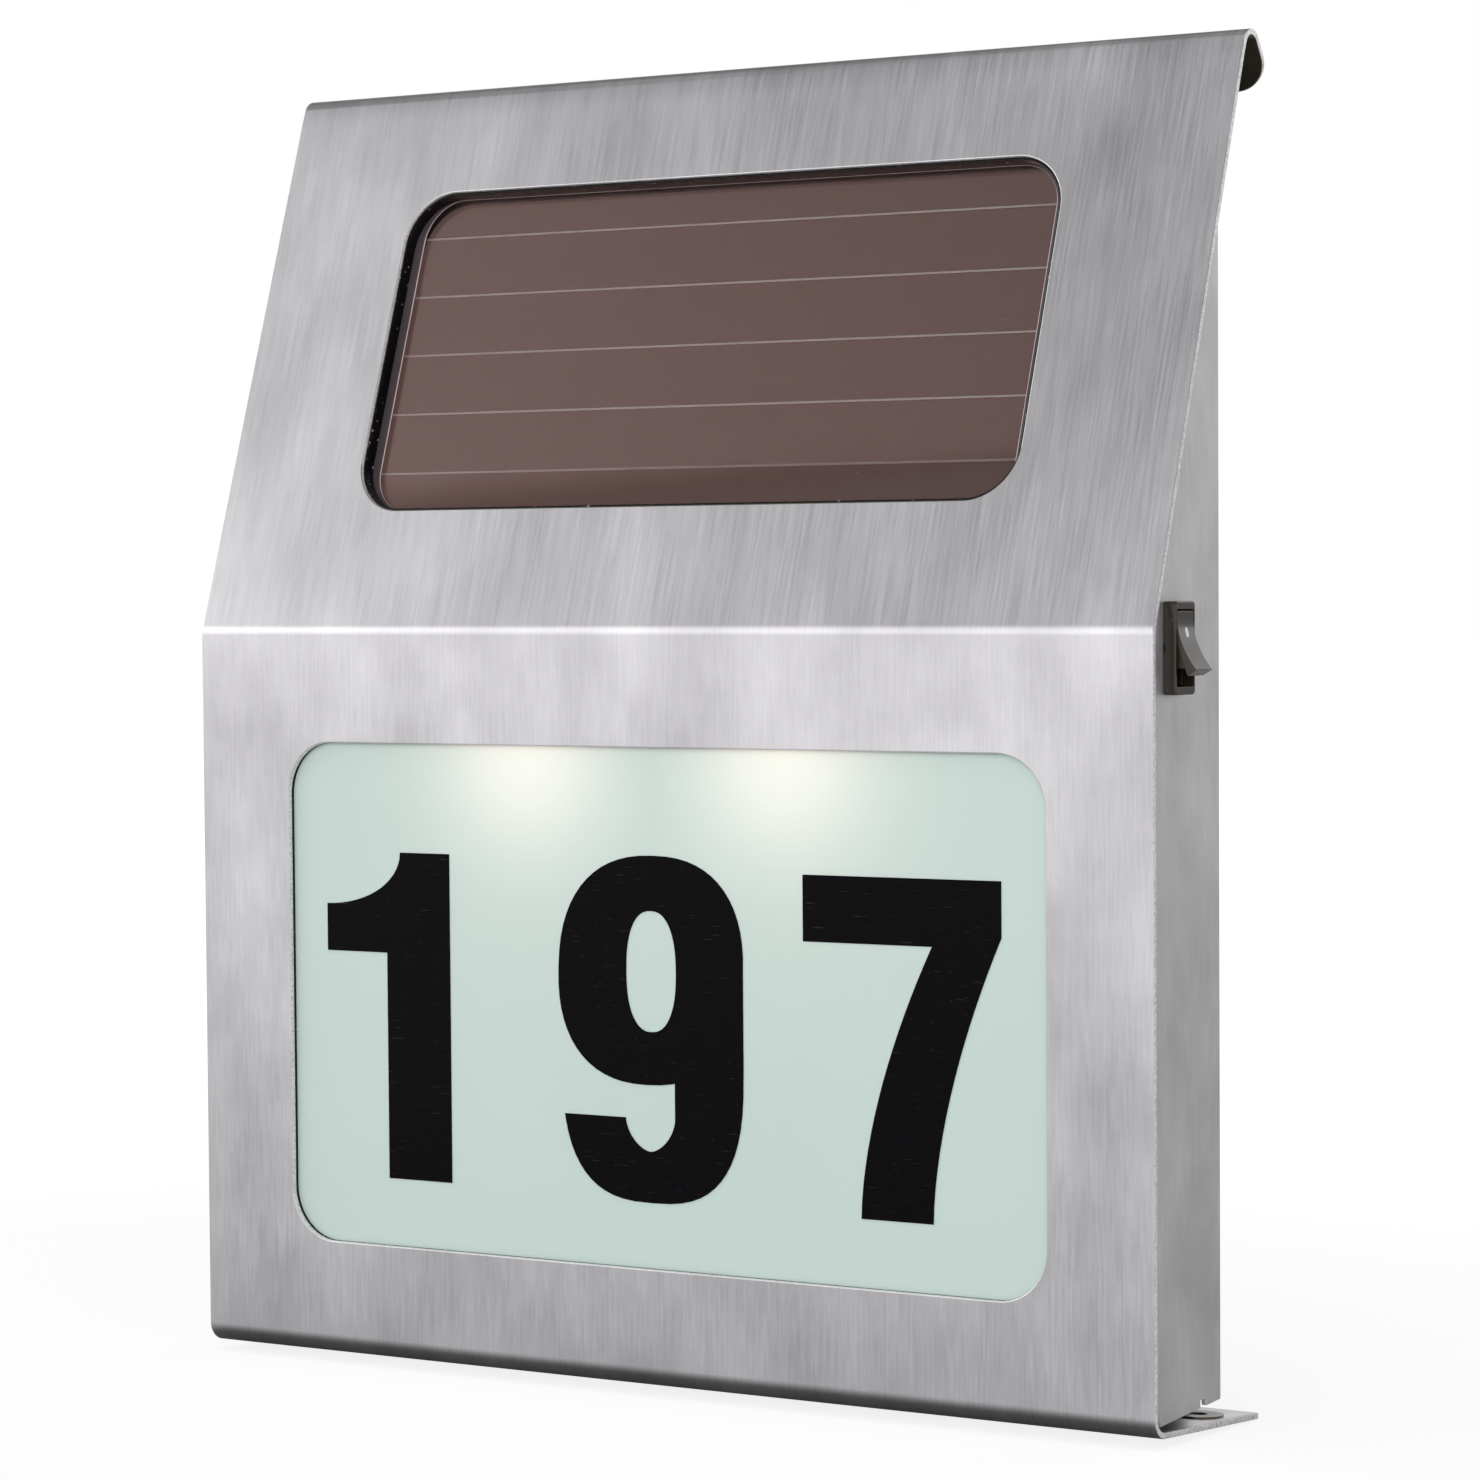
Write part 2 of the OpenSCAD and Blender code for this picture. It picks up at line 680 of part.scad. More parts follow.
module lamp_board() {
    color("darkgreen") in_place() translate([-lamp_board_w / 2, lamp_y - lamp_board_d / 2, tray_top_z])
        cube([lamp_board_w, lamp_board_d, board_t]);
}

module lamps() {
    color("lemonchiffon") in_place() both_sides(lamp_pitch / 2) translate([0, lamp_y, tray_top_z - lamp_l]) {
        cylinder(r = lamp_r, h = lamp_l);
        sphere(lamp_r);
    }
}

module control_post_places() {
    for (z = control_post_zs, x = [-1, 1]) translate([control_x + x * control_post_x, 0, z]) children();
}

module control_board() {
    color("darkgreen") in_place() difference() {
        translate([control_x - control_w / 2, control_y, control_z]) cube([control_w, board_t, control_h]);
        control_post_places() pin_y(screw_r + bore_slip, control_y - 1, control_back_y + 1);
    }
}

module board_screws() {
    color("silver") in_place() control_post_places() panel_screw(control_y);
}

module charge_chip() {
    color("black") in_place() translate([control_x - 4, control_back_y, control_z + 14]) cube([8, 1.5, 6]);
}

module charge_coil() {
    color("dimgray") in_place() translate([control_x - 13, 0, control_z + 22])
        pin_y(3, control_back_y, control_back_y + 3.4);
}

// Three sockets in a row at the board's upper edge, one for each pair of leads
module lead_sockets() {
    color("ivory") in_place() for (i = [-1, 0, 1])
        translate([socket_x + socket_pitch * i - socket_w / 2, control_back_y, socket_z - socket_w])
            cube([socket_w, socket_d, socket_w]);
}

module battery_holder() {
    color("black") in_place() difference() {
        translate([cavity_x0 - holder_wall, cavity_y - holder_wall, battery_z - cavity_h / 2 - holder_wall])
            cube([cavity_l + 2 * holder_wall, tub_in_y - cavity_y + holder_wall, cavity_h + 2 * holder_wall]);
        translate([cavity_x0, cavity_y, battery_z - cavity_h / 2])
            cube([cavity_l, tub_in_y - cavity_y + 1, cavity_h]);
        for (x = [cavity_x0 - holder_wall / 2, cavity_x1 + holder_wall / 2])
            translate([x, battery_y, battery_z - cavity_h / 2 + 2])
                cube([3 * holder_wall, 2.2 * lead_r, 2.2 * lead_r], center = true);
    }
}

// A bar along X, from x0 to x1
module pin_x(r, x0, x1) translate([x0, battery_y, battery_z]) rotate([0, 90, 0]) cylinder(r = r, h = x1 - x0);

module battery() {
    color("seagreen") in_place() {
        pin_x(battery_r, battery_x0, battery_x0 + battery_l);
        pin_x(tip_r, battery_x0 + battery_l - eps, battery_x0 + battery_l + tip_l);
    }
}

module battery_contacts() {
    plate_w = 10;
    color("silver") in_place() {
        for (x = [cavity_x0, cavity_x1 - contact_t])
            translate([x, battery_y - plate_w / 2, battery_z - cavity_h / 2])
                cube([contact_t, plate_w, cavity_h - 1]);
        pin_x(3.4, cavity_x0 + contact_t - eps, cavity_x0 + contact_t + spring_l / 2);
        pin_x(2.4, cavity_x0 + contact_t, cavity_x0 + contact_t + spring_l);
    }
}

// Room for the switch body through the right cheek and the tub wall
module switch_hole(room) {
    translate([cheek_x - body_d, switch_y - body_w / 2 - room, switch_z - body_h / 2 - room])
        cube([body_d + 1, body_w + 2 * room, body_h + 2 * room]);
}

module switch_body() {
    color("dimgray") in_place() translate([cheek_x, switch_y, switch_z]) difference() {
        union() {
            rotate([90, 0, 90]) linear_extrude(bezel_t) translate([0, -bezel_h / 2]) rounded(bezel_w, bezel_h, 0.7);
            translate([-body_d, -body_w / 2, -body_h / 2]) cube([body_d + eps, body_w, body_h]);
        }
        translate([-rocker_h - 1, -well_w / 2, -well_h / 2]) cube([rocker_h + bezel_t + 2, well_w, well_h]);
        translate([pivot_x - cheek_x, 0, 0])
            pin_y(pin_r + pin_slip, -bezel_w, bezel_w);
        for (z = [-1, 1]) translate([-body_d - 1, -terminal_w / 2, z * terminal_pitch / 2 - terminal_t / 2])
            cube([2.5, terminal_w, terminal_t]);
    }
}

// The rocker, seen from the front: a dished top between two raised ends, over a round hub
module rocker_outline() {
    dish = [for (i = [-12 : 12]) [rocker_h - face_dip * (1 - pow(i / 12, 2)), rocker_l * i / 12]];
    polygon(concat([[0, -rocker_l + 1.2]], dish, [[0, rocker_l - 1.2]]));
    circle(hub_r);
}

module switch_rocker() {
    color("gray") in_place() translate([pivot_x, switch_y, switch_z]) rotate([0, -rocker_tilt, 0]) {
        translate([0, rocker_w / 2, 0]) rotate([90, 0, 0]) linear_extrude(rocker_w) rocker_outline();
        pin_y(pin_r, -rocker_w / 2 - pin_l, rocker_w / 2 + pin_l);
    }
}

module switch_terminals() {
    color("gold") in_place() for (z = [-1, 1])
        translate([cheek_x - body_d - terminal_l + 1.5, switch_y - terminal_w / 2,
                   switch_z + z * terminal_pitch / 2 - terminal_t / 2])
            cube([terminal_l, terminal_w, terminal_t]);
}

// A lead: straight runs of round wire with a ball at each point where it turns
module lead(points) {
    for (i = [0 : len(points) - 2]) {
        run = points[i + 1] - points[i];
        start = i > 0 ? lead_trim : 0;
        end = i < len(points) - 2 ? lead_trim : 0;
        translate(points[i]) rotate([0, acos(run[2] / norm(run)), atan2(run[1], run[0])])
            translate([0, 0, start]) cylinder(r = lead_r, h = norm(run) - start - end, $fn = 16);
        if (i > 0) translate(points[i]) sphere(lead_bend_r, $fn = 16);
    }
}

// Where a pair of leads meets its socket on the control board
socket_y = control_back_y + socket_d / 2;
socket_z = control_z + control_h - socket_w / 2;
socket_rise = [0, 0, socket_w * 0.7];
function socket(i, side) = [socket_x + socket_pitch * i + side * lead_gap / 2, socket_y, socket_z];

module solar_leads() {
    start = lean_point(solar_s + 4, back_sheet_y + back_sheet_t);
    out = lean_point(solar_s + 4, back_sheet_y + back_sheet_t + 1.8);
    color("firebrick") in_place() for (side = [-1, 1]) {
        x = socket_x + side * lead_gap / 2;
        lead([[x, start[0], start[1]], [x, out[0], out[1]],
              [x, socket_y, out[1] - lead_drop], socket(0, side)]);
    }
}

module lamp_leads() {
    color("firebrick") in_place() for (side = [-1, 1]) {
        x = lamp_board_w / 2 - lead_drop + side * lead_gap / 2;
        z = tray_top_z + board_t;
        lead([[x, lamp_y, z], [x, lamp_y, z + 2.5], [x, socket_y, z + 2.5],
              socket(-1, side) + 3 * socket_rise, socket(-1, side)]);
    }
}

module switch_leads() {
    end_x = cheek_x - body_d - terminal_l + 1.5;
    color("black") in_place() for (side = [-1, 1])
        lead([[end_x, switch_y, switch_z + side * terminal_pitch / 2],
              [end_x - 3, switch_y, switch_z + side * terminal_pitch / 2],
              [end_x - 8, socket_y, switch_z - lead_drop + side * lead_gap / 2],
              [control_x + control_w / 2 - side * lead_gap / 2, socket_y,
               switch_z - lead_drop + side * lead_gap / 2],
              socket(1, -side) + 2 * socket_rise, socket(1, -side)]);
}

module battery_leads() {
    low_z = battery_z - cavity_h / 2 + 2;
    pad_x = control_x - control_post_x + post_r + lead_r + slip + 0.4;
    pad_z = socket_z - socket_w;
    color("black") in_place() {
        lead([[cavity_x1, battery_y, low_z], [cavity_x1 + lead_drop / 2, battery_y, low_z],
              [cavity_x1 + lead_drop, socket_y, low_z - lead_drop],
              [pad_x + lead_gap, socket_y, pad_z + lead_drop],
              [pad_x + lead_gap, socket_y, pad_z], [pad_x + lead_gap, control_back_y, pad_z]]);
        lead([[cavity_x0, battery_y, low_z], [cavity_x0 - lead_drop / 2, battery_y, low_z],
              [cavity_x0 - lead_drop / 2, socket_y, low_z - lead_drop], [cavity_x1, socket_y, low_z - lead_drop],
              [pad_x, socket_y, pad_z + lead_drop], [pad_x, socket_y, pad_z],
              [pad_x, control_back_y, pad_z]]);
    }
}

wall_bracket();
front_cover();
left_cheek();
right_cheek();
weld_studs();
flange_nuts();
tub_seal();
rear_tub();
tub_nuts();
battery_door();
number_seal();
number_panel();
digit_one();
digit_nine();
digit_seven();
solar_seal();
solar_glass();
solar_cells();
solar_back_sheet();
light_tray();
tray_screws();
lamp_board();
lamps();
control_board();
board_screws();
charge_chip();
charge_coil();
lead_sockets();
battery_holder();
battery();
battery_contacts();
switch_body();
switch_rocker();
switch_terminals();
solar_leads();
lamp_leads();
switch_leads();
battery_leads();
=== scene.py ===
# %% [markdown]
# # A solar house-number light
#
# The light hangs on a wall. A folded sheet of brushed stainless steel makes its front: the lower
# face holds an opal window with a number, the leaning upper face holds a solar panel. A black
# plastic tub behind the sheet keeps the battery and the boards dry. This lesson dresses a packed
# CAD model of it: every piece below stands where the CAD says, in metres.

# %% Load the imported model
import json
import math

import bmesh
import bpy
from mathutils import Matrix, Vector
from mathutils.bvhtree import BVHTree


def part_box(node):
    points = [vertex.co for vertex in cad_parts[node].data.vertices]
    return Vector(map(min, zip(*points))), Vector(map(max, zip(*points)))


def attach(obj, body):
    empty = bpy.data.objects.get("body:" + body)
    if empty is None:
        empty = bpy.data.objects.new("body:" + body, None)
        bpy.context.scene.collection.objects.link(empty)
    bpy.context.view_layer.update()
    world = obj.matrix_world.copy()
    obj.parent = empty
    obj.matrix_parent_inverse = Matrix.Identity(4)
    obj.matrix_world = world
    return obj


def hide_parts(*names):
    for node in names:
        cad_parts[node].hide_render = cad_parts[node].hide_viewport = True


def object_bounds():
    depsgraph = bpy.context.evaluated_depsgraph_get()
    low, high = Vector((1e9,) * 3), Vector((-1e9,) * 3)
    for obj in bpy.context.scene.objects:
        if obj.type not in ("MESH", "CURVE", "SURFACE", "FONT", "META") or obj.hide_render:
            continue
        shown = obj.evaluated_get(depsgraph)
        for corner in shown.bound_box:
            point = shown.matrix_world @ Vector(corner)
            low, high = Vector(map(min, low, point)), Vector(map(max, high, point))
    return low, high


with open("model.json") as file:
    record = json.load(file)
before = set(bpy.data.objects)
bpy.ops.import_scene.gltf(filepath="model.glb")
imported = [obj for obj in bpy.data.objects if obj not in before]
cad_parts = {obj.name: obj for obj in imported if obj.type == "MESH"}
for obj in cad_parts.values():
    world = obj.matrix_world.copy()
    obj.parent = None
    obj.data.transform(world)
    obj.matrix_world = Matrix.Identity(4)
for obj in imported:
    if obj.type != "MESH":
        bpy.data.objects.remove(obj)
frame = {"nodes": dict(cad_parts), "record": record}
cad_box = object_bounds()
nodes = frame["nodes"]
node_body = {node: body for body, members in frame["record"]["behaviour"]["bodies"].items()
    for node in members}

# %% [markdown]
# ## Measures
#
# The light was drawn from its front face and the underside of its flange, in millimetres. `at`
# takes such a place and gives it in the row frame, in metres, whose origin is on the wall.

# %% Units and places
MM = 0.001
WALL_Y = 41.8023
HOLE_Z = 107.5


def at(x, y, z):
    """A place given right of the middle, behind the front face and above the flange, in mm."""
    return Vector((x, y - WALL_Y, z - HOLE_Z)) * MM


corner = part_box("front_cover")[0]
print("front face, mm from the drawn one:", round((corner.y - at(0, 0, 0).y) / MM, 3))

# %% [markdown]
# ## The camera
#
# A photographer with a long lens stood to the right of the light and a little above its middle.
# The place and the three angles were worked out from straight edges of the object.

# %% Camera
PICTURE = 1480
FOCAL_PIXELS = 4771.332
CENTRE_ROW = 812.918
YAW, PITCH, ROLL = 0.5914605, -0.0485335, -0.0070775
CAMERA_PLACE = (450.350, -642.933, 134.892)

forward = Vector((-math.sin(YAW) * math.cos(PITCH), math.cos(YAW) * math.cos(PITCH), math.sin(PITCH)))
level = forward.cross(Vector((0, 0, 1))).normalized()
upright = level.cross(forward)
right = level * math.cos(ROLL) + upright * math.sin(ROLL)
up = upright * math.cos(ROLL) - level * math.sin(ROLL)

lens = bpy.data.cameras.new("camera")
lens.sensor_width = 36
lens.lens = FOCAL_PIXELS * lens.sensor_width / PICTURE
lens.shift_y = (CENTRE_ROW - PICTURE / 2) / PICTURE
lens.clip_start = 0.01
camera = bpy.data.objects.new("camera", lens)
camera.matrix_world = (Matrix.Translation(at(*CAMERA_PLACE))
    @ Matrix((right, up, -forward)).transposed().to_4x4())
bpy.context.scene.collection.objects.link(camera)
bpy.context.scene.camera = camera
print("lens, mm:", round(lens.lens, 1), "shift:", round(lens.shift_y, 4))

# %% [markdown]
# ## Colours and nodes
#
# Colours are written as the hex values that a paint card or a screen shows, and one function turns
# them to the linear light that Blender mixes. A second small function adds any node with its
# settings and links, so that a whole material reads as a list.

# %% Helpers for colours and nodes
def linear(hex_value, alpha=1.0):
    """Turns an sRGB hex colour to linear light."""
    parts = [int(hex_value[i:i + 2], 16) / 255 for i in (1, 3, 5)]
    return (*[p / 12.92 if p <= 0.04045 else ((p + 0.055) / 1.055) ** 2.4 for p in parts], alpha)


def out(node, name=None):
    """The output in use that has this name, or else the first one in use."""
    return next(s for s in node.outputs if s.enabled and name in (None, s.name))


def add(tree, kind, links=None, **settings):
    """Adds a node; settings are its properties, links its inputs: values, hex
    colours, sockets or other nodes."""
    node = tree.nodes.new(kind)
    for name, value in settings.items():
        setattr(node, name, value)
    for name, value in (links or {}).items():
        socket = node.inputs[name] if isinstance(name, int) else next(s for s in node.inputs if s.enabled
            and s.name == name)
        if isinstance(value, bpy.types.Node):
            value = out(value)
        if isinstance(value, str) and value.startswith("#"):
            value = linear(value)
        if isinstance(value, bpy.types.NodeSocket):
            tree.links.new(value, socket)
        else:
            socket.default_value = value
    return node


# %% [markdown]
# ## Floor, sky and lamps
#
# The object stood in a white photo tent. Where the camera looks at the background or the floor, it
# sees plain white, with only the object's soft shadow. Metal shows its surroundings, so the tent's
# glow is drawn as a gradient: brightest a little above the horizon, softer overhead, grey below.

# %% Floor
def link(name, mesh):
    """Puts a mesh in the scene as an object."""
    piece = bpy.data.objects.new(name, mesh)
    bpy.context.scene.collection.objects.link(piece)
    return piece


def start_material(name):
    """An empty material and its node tree."""
    material = bpy.data.materials.new(name)
    material.use_nodes = True
    material.node_tree.nodes.clear()
    return material, material.node_tree


FLOOR_REACH = 4
FOOT_DEPTH = 0.034
FOOT_Y = 0.0418 - FOOT_DEPTH / 2
PAPER_SHADE_NEAR, PAPER_FAR, PAPER_SHADE_BEHIND = 0.57, 0.90, 0.66
floor_z = cad_box[0][2] - 0.0002
sheet = bpy.data.meshes.new("floor")
sheet.from_pydata([(x * FLOOR_REACH, y * FLOOR_REACH, floor_z) for x, y in ((-1, -1), (1, -1), (1, 1),
    (-1, 1))], [], [(0, 1, 2, 3)])
floor = link("floor", sheet)
paper, tree = start_material("paper_floor")
paper.cycles.emission_sampling = "NONE"
rays = add(tree, "ShaderNodeLightPath")
seen = out(rays, "Is Camera Ray")
mirrored = add(tree, "ShaderNodeMath", {0: out(rays, "Is Glossy Ray"), 1: out(rays, "Is Transmission Ray")},
    operation="MAXIMUM")
# How far a place on the paper is from the object's foot, in metres
place = add(tree, "ShaderNodeTexCoord")
away = add(tree, "ShaderNodeVectorMath", {0: out(place, "Object"), 1: (0, FOOT_Y, -floor_z)}, operation="ADD")
away = add(tree, "ShaderNodeVectorMath", {0: away}, operation="ABSOLUTE")
away = add(tree, "ShaderNodeVectorMath", {0: away, 1: (0.095, FOOT_DEPTH / 2, 0)}, operation="SUBTRACT")
away = add(tree, "ShaderNodeVectorMath", {0: away, 1: (0, 0, 0)}, operation="MAXIMUM")
away = out(add(tree, "ShaderNodeVectorMath", {0: away}, operation="LENGTH"), "Value")
# Metal shows the paper with painted shade: dark at the foot, grey near it, paler further out, dimmer behind
foot = add(tree, "ShaderNodeMapRange", {"Value": away, "From Min": 0.002, "From Max": 0.012,
    "To Min": 0.06, "To Max": 1.0})
pale = add(tree, "ShaderNodeMapRange", {"Value": away, "From Min": 0.02, "From Max": 0.9,
    "To Min": PAPER_SHADE_NEAR, "To Max": PAPER_FAR})
depth = out(add(tree, "ShaderNodeSeparateXYZ", {0: out(place, "Object")}), "Y")
behind = add(tree, "ShaderNodeMapRange", {"Value": depth, "From Min": -0.05, "From Max": 0.3,
    "To Min": 1.0, "To Max": PAPER_SHADE_BEHIND})
shown = add(tree, "ShaderNodeMath", {0: foot, 1: pale}, operation="MULTIPLY")
shown = add(tree, "ShaderNodeMath", {0: shown, 1: behind}, operation="MULTIPLY")
strength = add(tree, "ShaderNodeMix", {"Factor": seen, "A": shown, "B": 1.12})
# The camera sees white paper that keeps the object's shadow near its foot
clear = add(tree, "ShaderNodeMapRange", {"Value": away, "From Min": 0.15, "From Max": 0.6,
    "To Min": 0.75, "To Max": 1.0})
share = add(tree, "ShaderNodeMath", {0: seen, 1: clear}, operation="MULTIPLY")
share = add(tree, "ShaderNodeMath", {0: mirrored, 1: 0.8, 2: share}, operation="MULTIPLY_ADD", use_clamp=True)
tint = add(tree, "ShaderNodeMix", {"Factor": seen, "A": "#c8c8c8", "B": "#f6f6f6"}, data_type="RGBA")
matte = add(tree, "ShaderNodeBsdfDiffuse", {"Color": tint})
glow = add(tree, "ShaderNodeEmission", {"Color": (1, 1, 1, 1), "Strength": strength})
mixed = add(tree, "ShaderNodeMixShader", {0: share, 1: matte, 2: glow})
add(tree, "ShaderNodeOutputMaterial", {"Surface": mixed})
floor.data.materials.append(paper)

# %% Sky
# Degrees above the horizon, and how bright the tent is there
TENT = [(-90, 0.10), (-20, 0.30), (-8, 0.90), (0, 1.40), (9, 1.75), (14, 2.20), (19, 1.50), (27, 0.50),
    (42, 0.29), (60, 0.45), (90, 0.50)]
DIM_BACK = 0.42
DIM_RIGHT, BRIGHT_LEFT = 0.45, 1.5
BACK_LEFT = 1.45
world = bpy.data.worlds.new("photo_tent")
bpy.context.scene.world = world
world.use_nodes = True
tree = world.node_tree
tree.nodes.clear()
direction = add(tree, "ShaderNodeSeparateXYZ", {0: out(add(tree, "ShaderNodeTexCoord"), "Generated")})
height = add(tree, "ShaderNodeMapRange", {"Value": out(direction, "Z"), "From Min": -1.0, "From Max": 1.0})
band = add(tree, "ShaderNodeValToRGB", {0: height})
while len(band.color_ramp.elements) < len(TENT):
    band.color_ramp.elements.new(0.5)
for stop, (degrees, bright) in zip(band.color_ramp.elements, TENT):
    stop.position = (math.sin(math.radians(degrees)) + 1) / 2
    stop.color = (bright, bright, bright, 1)
# The tent's front was lit and its back was dimmer; high up its left was brighter than its right
front = add(tree, "ShaderNodeMapRange", {"Value": out(direction, "Y"), "From Min": 0.8, "From Max": -0.8,
    "To Min": DIM_BACK, "To Max": 1.0}, interpolation_type="SMOOTHSTEP")
side = add(tree, "ShaderNodeMapRange", {"Value": out(direction, "X"), "From Min": -0.1, "From Max": -0.9,
    "To Min": DIM_RIGHT, "To Max": BRIGHT_LEFT})
high = add(tree, "ShaderNodeMapRange", {"Value": out(direction, "Z"), "From Min": 0.12, "From Max": 0.36})
side = add(tree, "ShaderNodeMix", {"Factor": high, "A": 1.0, "B": side})
back_left = add(tree, "ShaderNodeMapRange", {"Value": out(direction, "X"), "From Min": -0.1, "From Max": -0.5,
    "To Min": 1.0, "To Max": BACK_LEFT})
behind = add(tree, "ShaderNodeMapRange", {"Value": out(direction, "Y"), "From Min": 0.2, "From Max": 0.6})
back_left = add(tree, "ShaderNodeMix", {"Factor": behind, "A": 1.0, "B": back_left})
front = add(tree, "ShaderNodeMath", {0: front, 1: side}, operation="MULTIPLY")
front = add(tree, "ShaderNodeMath", {0: front, 1: back_left}, operation="MULTIPLY")
tent = add(tree, "ShaderNodeBackground", {"Color": out(band, "Color"), "Strength": front})
white = add(tree, "ShaderNodeBackground", {"Color": (1, 1, 1, 1), "Strength": 1.0})
rays = add(tree, "ShaderNodeLightPath")
mixed = add(tree, "ShaderNodeMixShader", {0: out(rays, "Is Camera Ray"), 1: tent, 2: white})
add(tree, "ShaderNodeOutputWorld", {"Surface": mixed})


# %% Lamps
def softbox(name, place, size, watts, mirrored=True):
    """A square lamp at a place, turned towards the object. Metal shows it if mirrored."""
    lamp = bpy.data.lights.new(name, "AREA")
    lamp.shape = "SQUARE"
    lamp.size = size
    lamp.energy = watts
    holder = link(name, lamp)
    holder.location = place
    holder.visible_glossy = mirrored
    holder.rotation_euler = (-Vector(place)).to_track_quat("-Z", "Y").to_euler()


softbox("left_lamp", (-1.5, -0.5, 0.7), 0.9, 2.5)
softbox("top_lamp", (0.3, -0.5, 1.7), 1.2, 6)
softbox("back_lamp", (0.6, 1.6, 0.8), 1.2, 6)
softbox("front_fill", (0.7, -1.7, 0.5), 1.5, 9.0, mirrored=False)
bpy.context.scene.view_settings.view_transform = "Standard"

# %% [markdown]
# ## Brushed stainless steel
#
# The cover is sheet of stainless steel with a brushed grain: a belt with grit ran along it and left
# fine scratches, all in one direction. That makes streaks a few tenths of a millimetre wide and
# some centimetres long, and it stretches each reflection across the grain. Cut edges were not
# brushed, so they're rougher and paler; their near-white colour with its sparkle is also a painted
# highlight. The grain follows a UV map in metres named `sheet`, whose U runs across the grain.

# %% Brushed steel
def finish_material(tree, shader, bump=None):
    """Joins a shader, and a bump if there is one, to the material's output."""
    if bump is not None:
        tree.links.new(out(bump), shader.inputs["Normal"])
    add(tree, "ShaderNodeOutputMaterial", {"Surface": shader})


def brushed_steel(name, dark, light, edge, smooth):
    """Brushed sheet: two shades of the grain, the pale painted highlight of a cut edge, and the least
    roughness.
    """
    material, tree = start_material(name)
    sheet = add(tree, "ShaderNodeUVMap", uv_map="sheet")
    # Scratches 0.25 mm wide and 5 mm long: the real ones are finer, but wouldn't show
    fine_at = add(tree, "ShaderNodeMapping", {"Vector": sheet, "Scale": (1 / 0.0005, 1 / 0.010, 1)})
    fine = add(tree, "ShaderNodeTexNoise", {"Vector": fine_at, "Scale": 1.0, "Detail": 3.0, "Roughness": 0.6},
        noise_dimensions="2D")
    # Passes of the belt: 1.5 mm wide and 25 mm long
    pass_at = add(tree, "ShaderNodeMapping", {"Vector": sheet, "Scale": (1 / 0.003, 1 / 0.05, 1)})
    passes = add(tree, "ShaderNodeTexNoise", {"Vector": pass_at, "Scale": 1.0, "Detail": 2.0},
        noise_dimensions="2D")
    # Clouds where the belt pressed more or less: 9 mm wide and 13 mm long
    cloud_at = add(tree, "ShaderNodeMapping", {"Vector": sheet, "Scale": (1 / 0.018, 1 / 0.026, 1)})
    clouds = add(tree, "ShaderNodeTexNoise", {"Vector": cloud_at, "Scale": 1.0, "Detail": 5.0,
        "Roughness": 0.55}, noise_dimensions="2D")
    both = add(tree, "ShaderNodeMix", {"Factor": 0.22, "A": out(fine, "Fac"), "B": out(passes, "Fac")})
    tone = add(tree, "ShaderNodeMix", {"Factor": 0.62, "A": both, "B": out(clouds, "Fac")})
    spread = add(tree, "ShaderNodeMapRange", {"Value": tone, "From Min": 0.3, "From Max": 0.7})
    grain = add(tree, "ShaderNodeMix", {"Factor": spread, "A": dark, "B": light}, data_type="RGBA")
    rim = add(tree, "ShaderNodeAttribute", attribute_name="rim")
    # Painted highlight of the cut edge, which sparkles in grains of 0.4 mm
    place = add(tree, "ShaderNodeTexCoord")
    sparkle = add(tree, "ShaderNodeTexNoise", {"Vector": out(place, "Object"), "Scale": 1 / 0.0004,
        "Detail": 1.0})
    edge_glint = add(tree, "ShaderNodeMapRange", {"Value": out(sparkle, "Fac"),
        "From Min": 0.35, "From Max": 0.6, "To Min": 0.35, "To Max": 1.0})
    edge_highlight = add(tree, "ShaderNodeMix", {"Factor": edge_glint, "A": dark, "B": edge}, data_type="RGBA")
    # Painted shade: the inner skin is darkened to olive grey, as the hollow of the flap lies in shade
    inside = add(tree, "ShaderNodeAttribute", attribute_name="inside")
    skin = add(tree, "ShaderNodeMix", {"Factor": out(inside, "Fac"), "A": grain, "B": "#7d7666"},
        data_type="RGBA")
    colour = add(tree, "ShaderNodeMix", {"Factor": out(rim, "Fac"), "A": skin, "B": edge_highlight},
        data_type="RGBA")
    rough = add(tree, "ShaderNodeMapRange", {"Value": both, "From Min": 0.3, "From Max": 0.7,
        "To Min": smooth, "To Max": smooth + 0.1})
    bump = add(tree, "ShaderNodeBump", {"Height": out(fine, "Fac"), "Strength": 0.12, "Distance": 0.00002})
    tangent = add(tree, "ShaderNodeTangent", direction_type="UV_MAP", uv_map="sheet")
    bare = add(tree, "ShaderNodeMapRange", {"Value": out(rim, "Fac"), "To Min": 1.0, "To Max": 0.2})
    steel = add(tree, "ShaderNodeBsdfPrincipled", {"Base Color": colour, "Metallic": bare, "Roughness": rough,
        "Anisotropic": 0.6, "Tangent": tangent})
    finish_material(tree, steel, bump)
    return material


stainless = brushed_steel("brushed_stainless_steel", "#bab8bb", "#dbd9dc", "#f6f5f6", 0.30)
cheek_steel = brushed_steel("brushed_cheek_steel", "#bab9ba", "#d8d6d8", "#f4f3f4", 0.40)
print("material:", stainless.name)

# %% [markdown]
# ## The folded cover
#
# A folded sheet is one strip that follows a path seen from the side. The path has four corners:
# the flange's, the middle bend, a very wide one just below the ridge, and the ridge. Geometry Nodes
# can say exactly that: round the path's corners, then sweep a flat rectangle along it. The radius of
# each corner is stored on the path's points. The windows are cut afterwards, as a laser would.

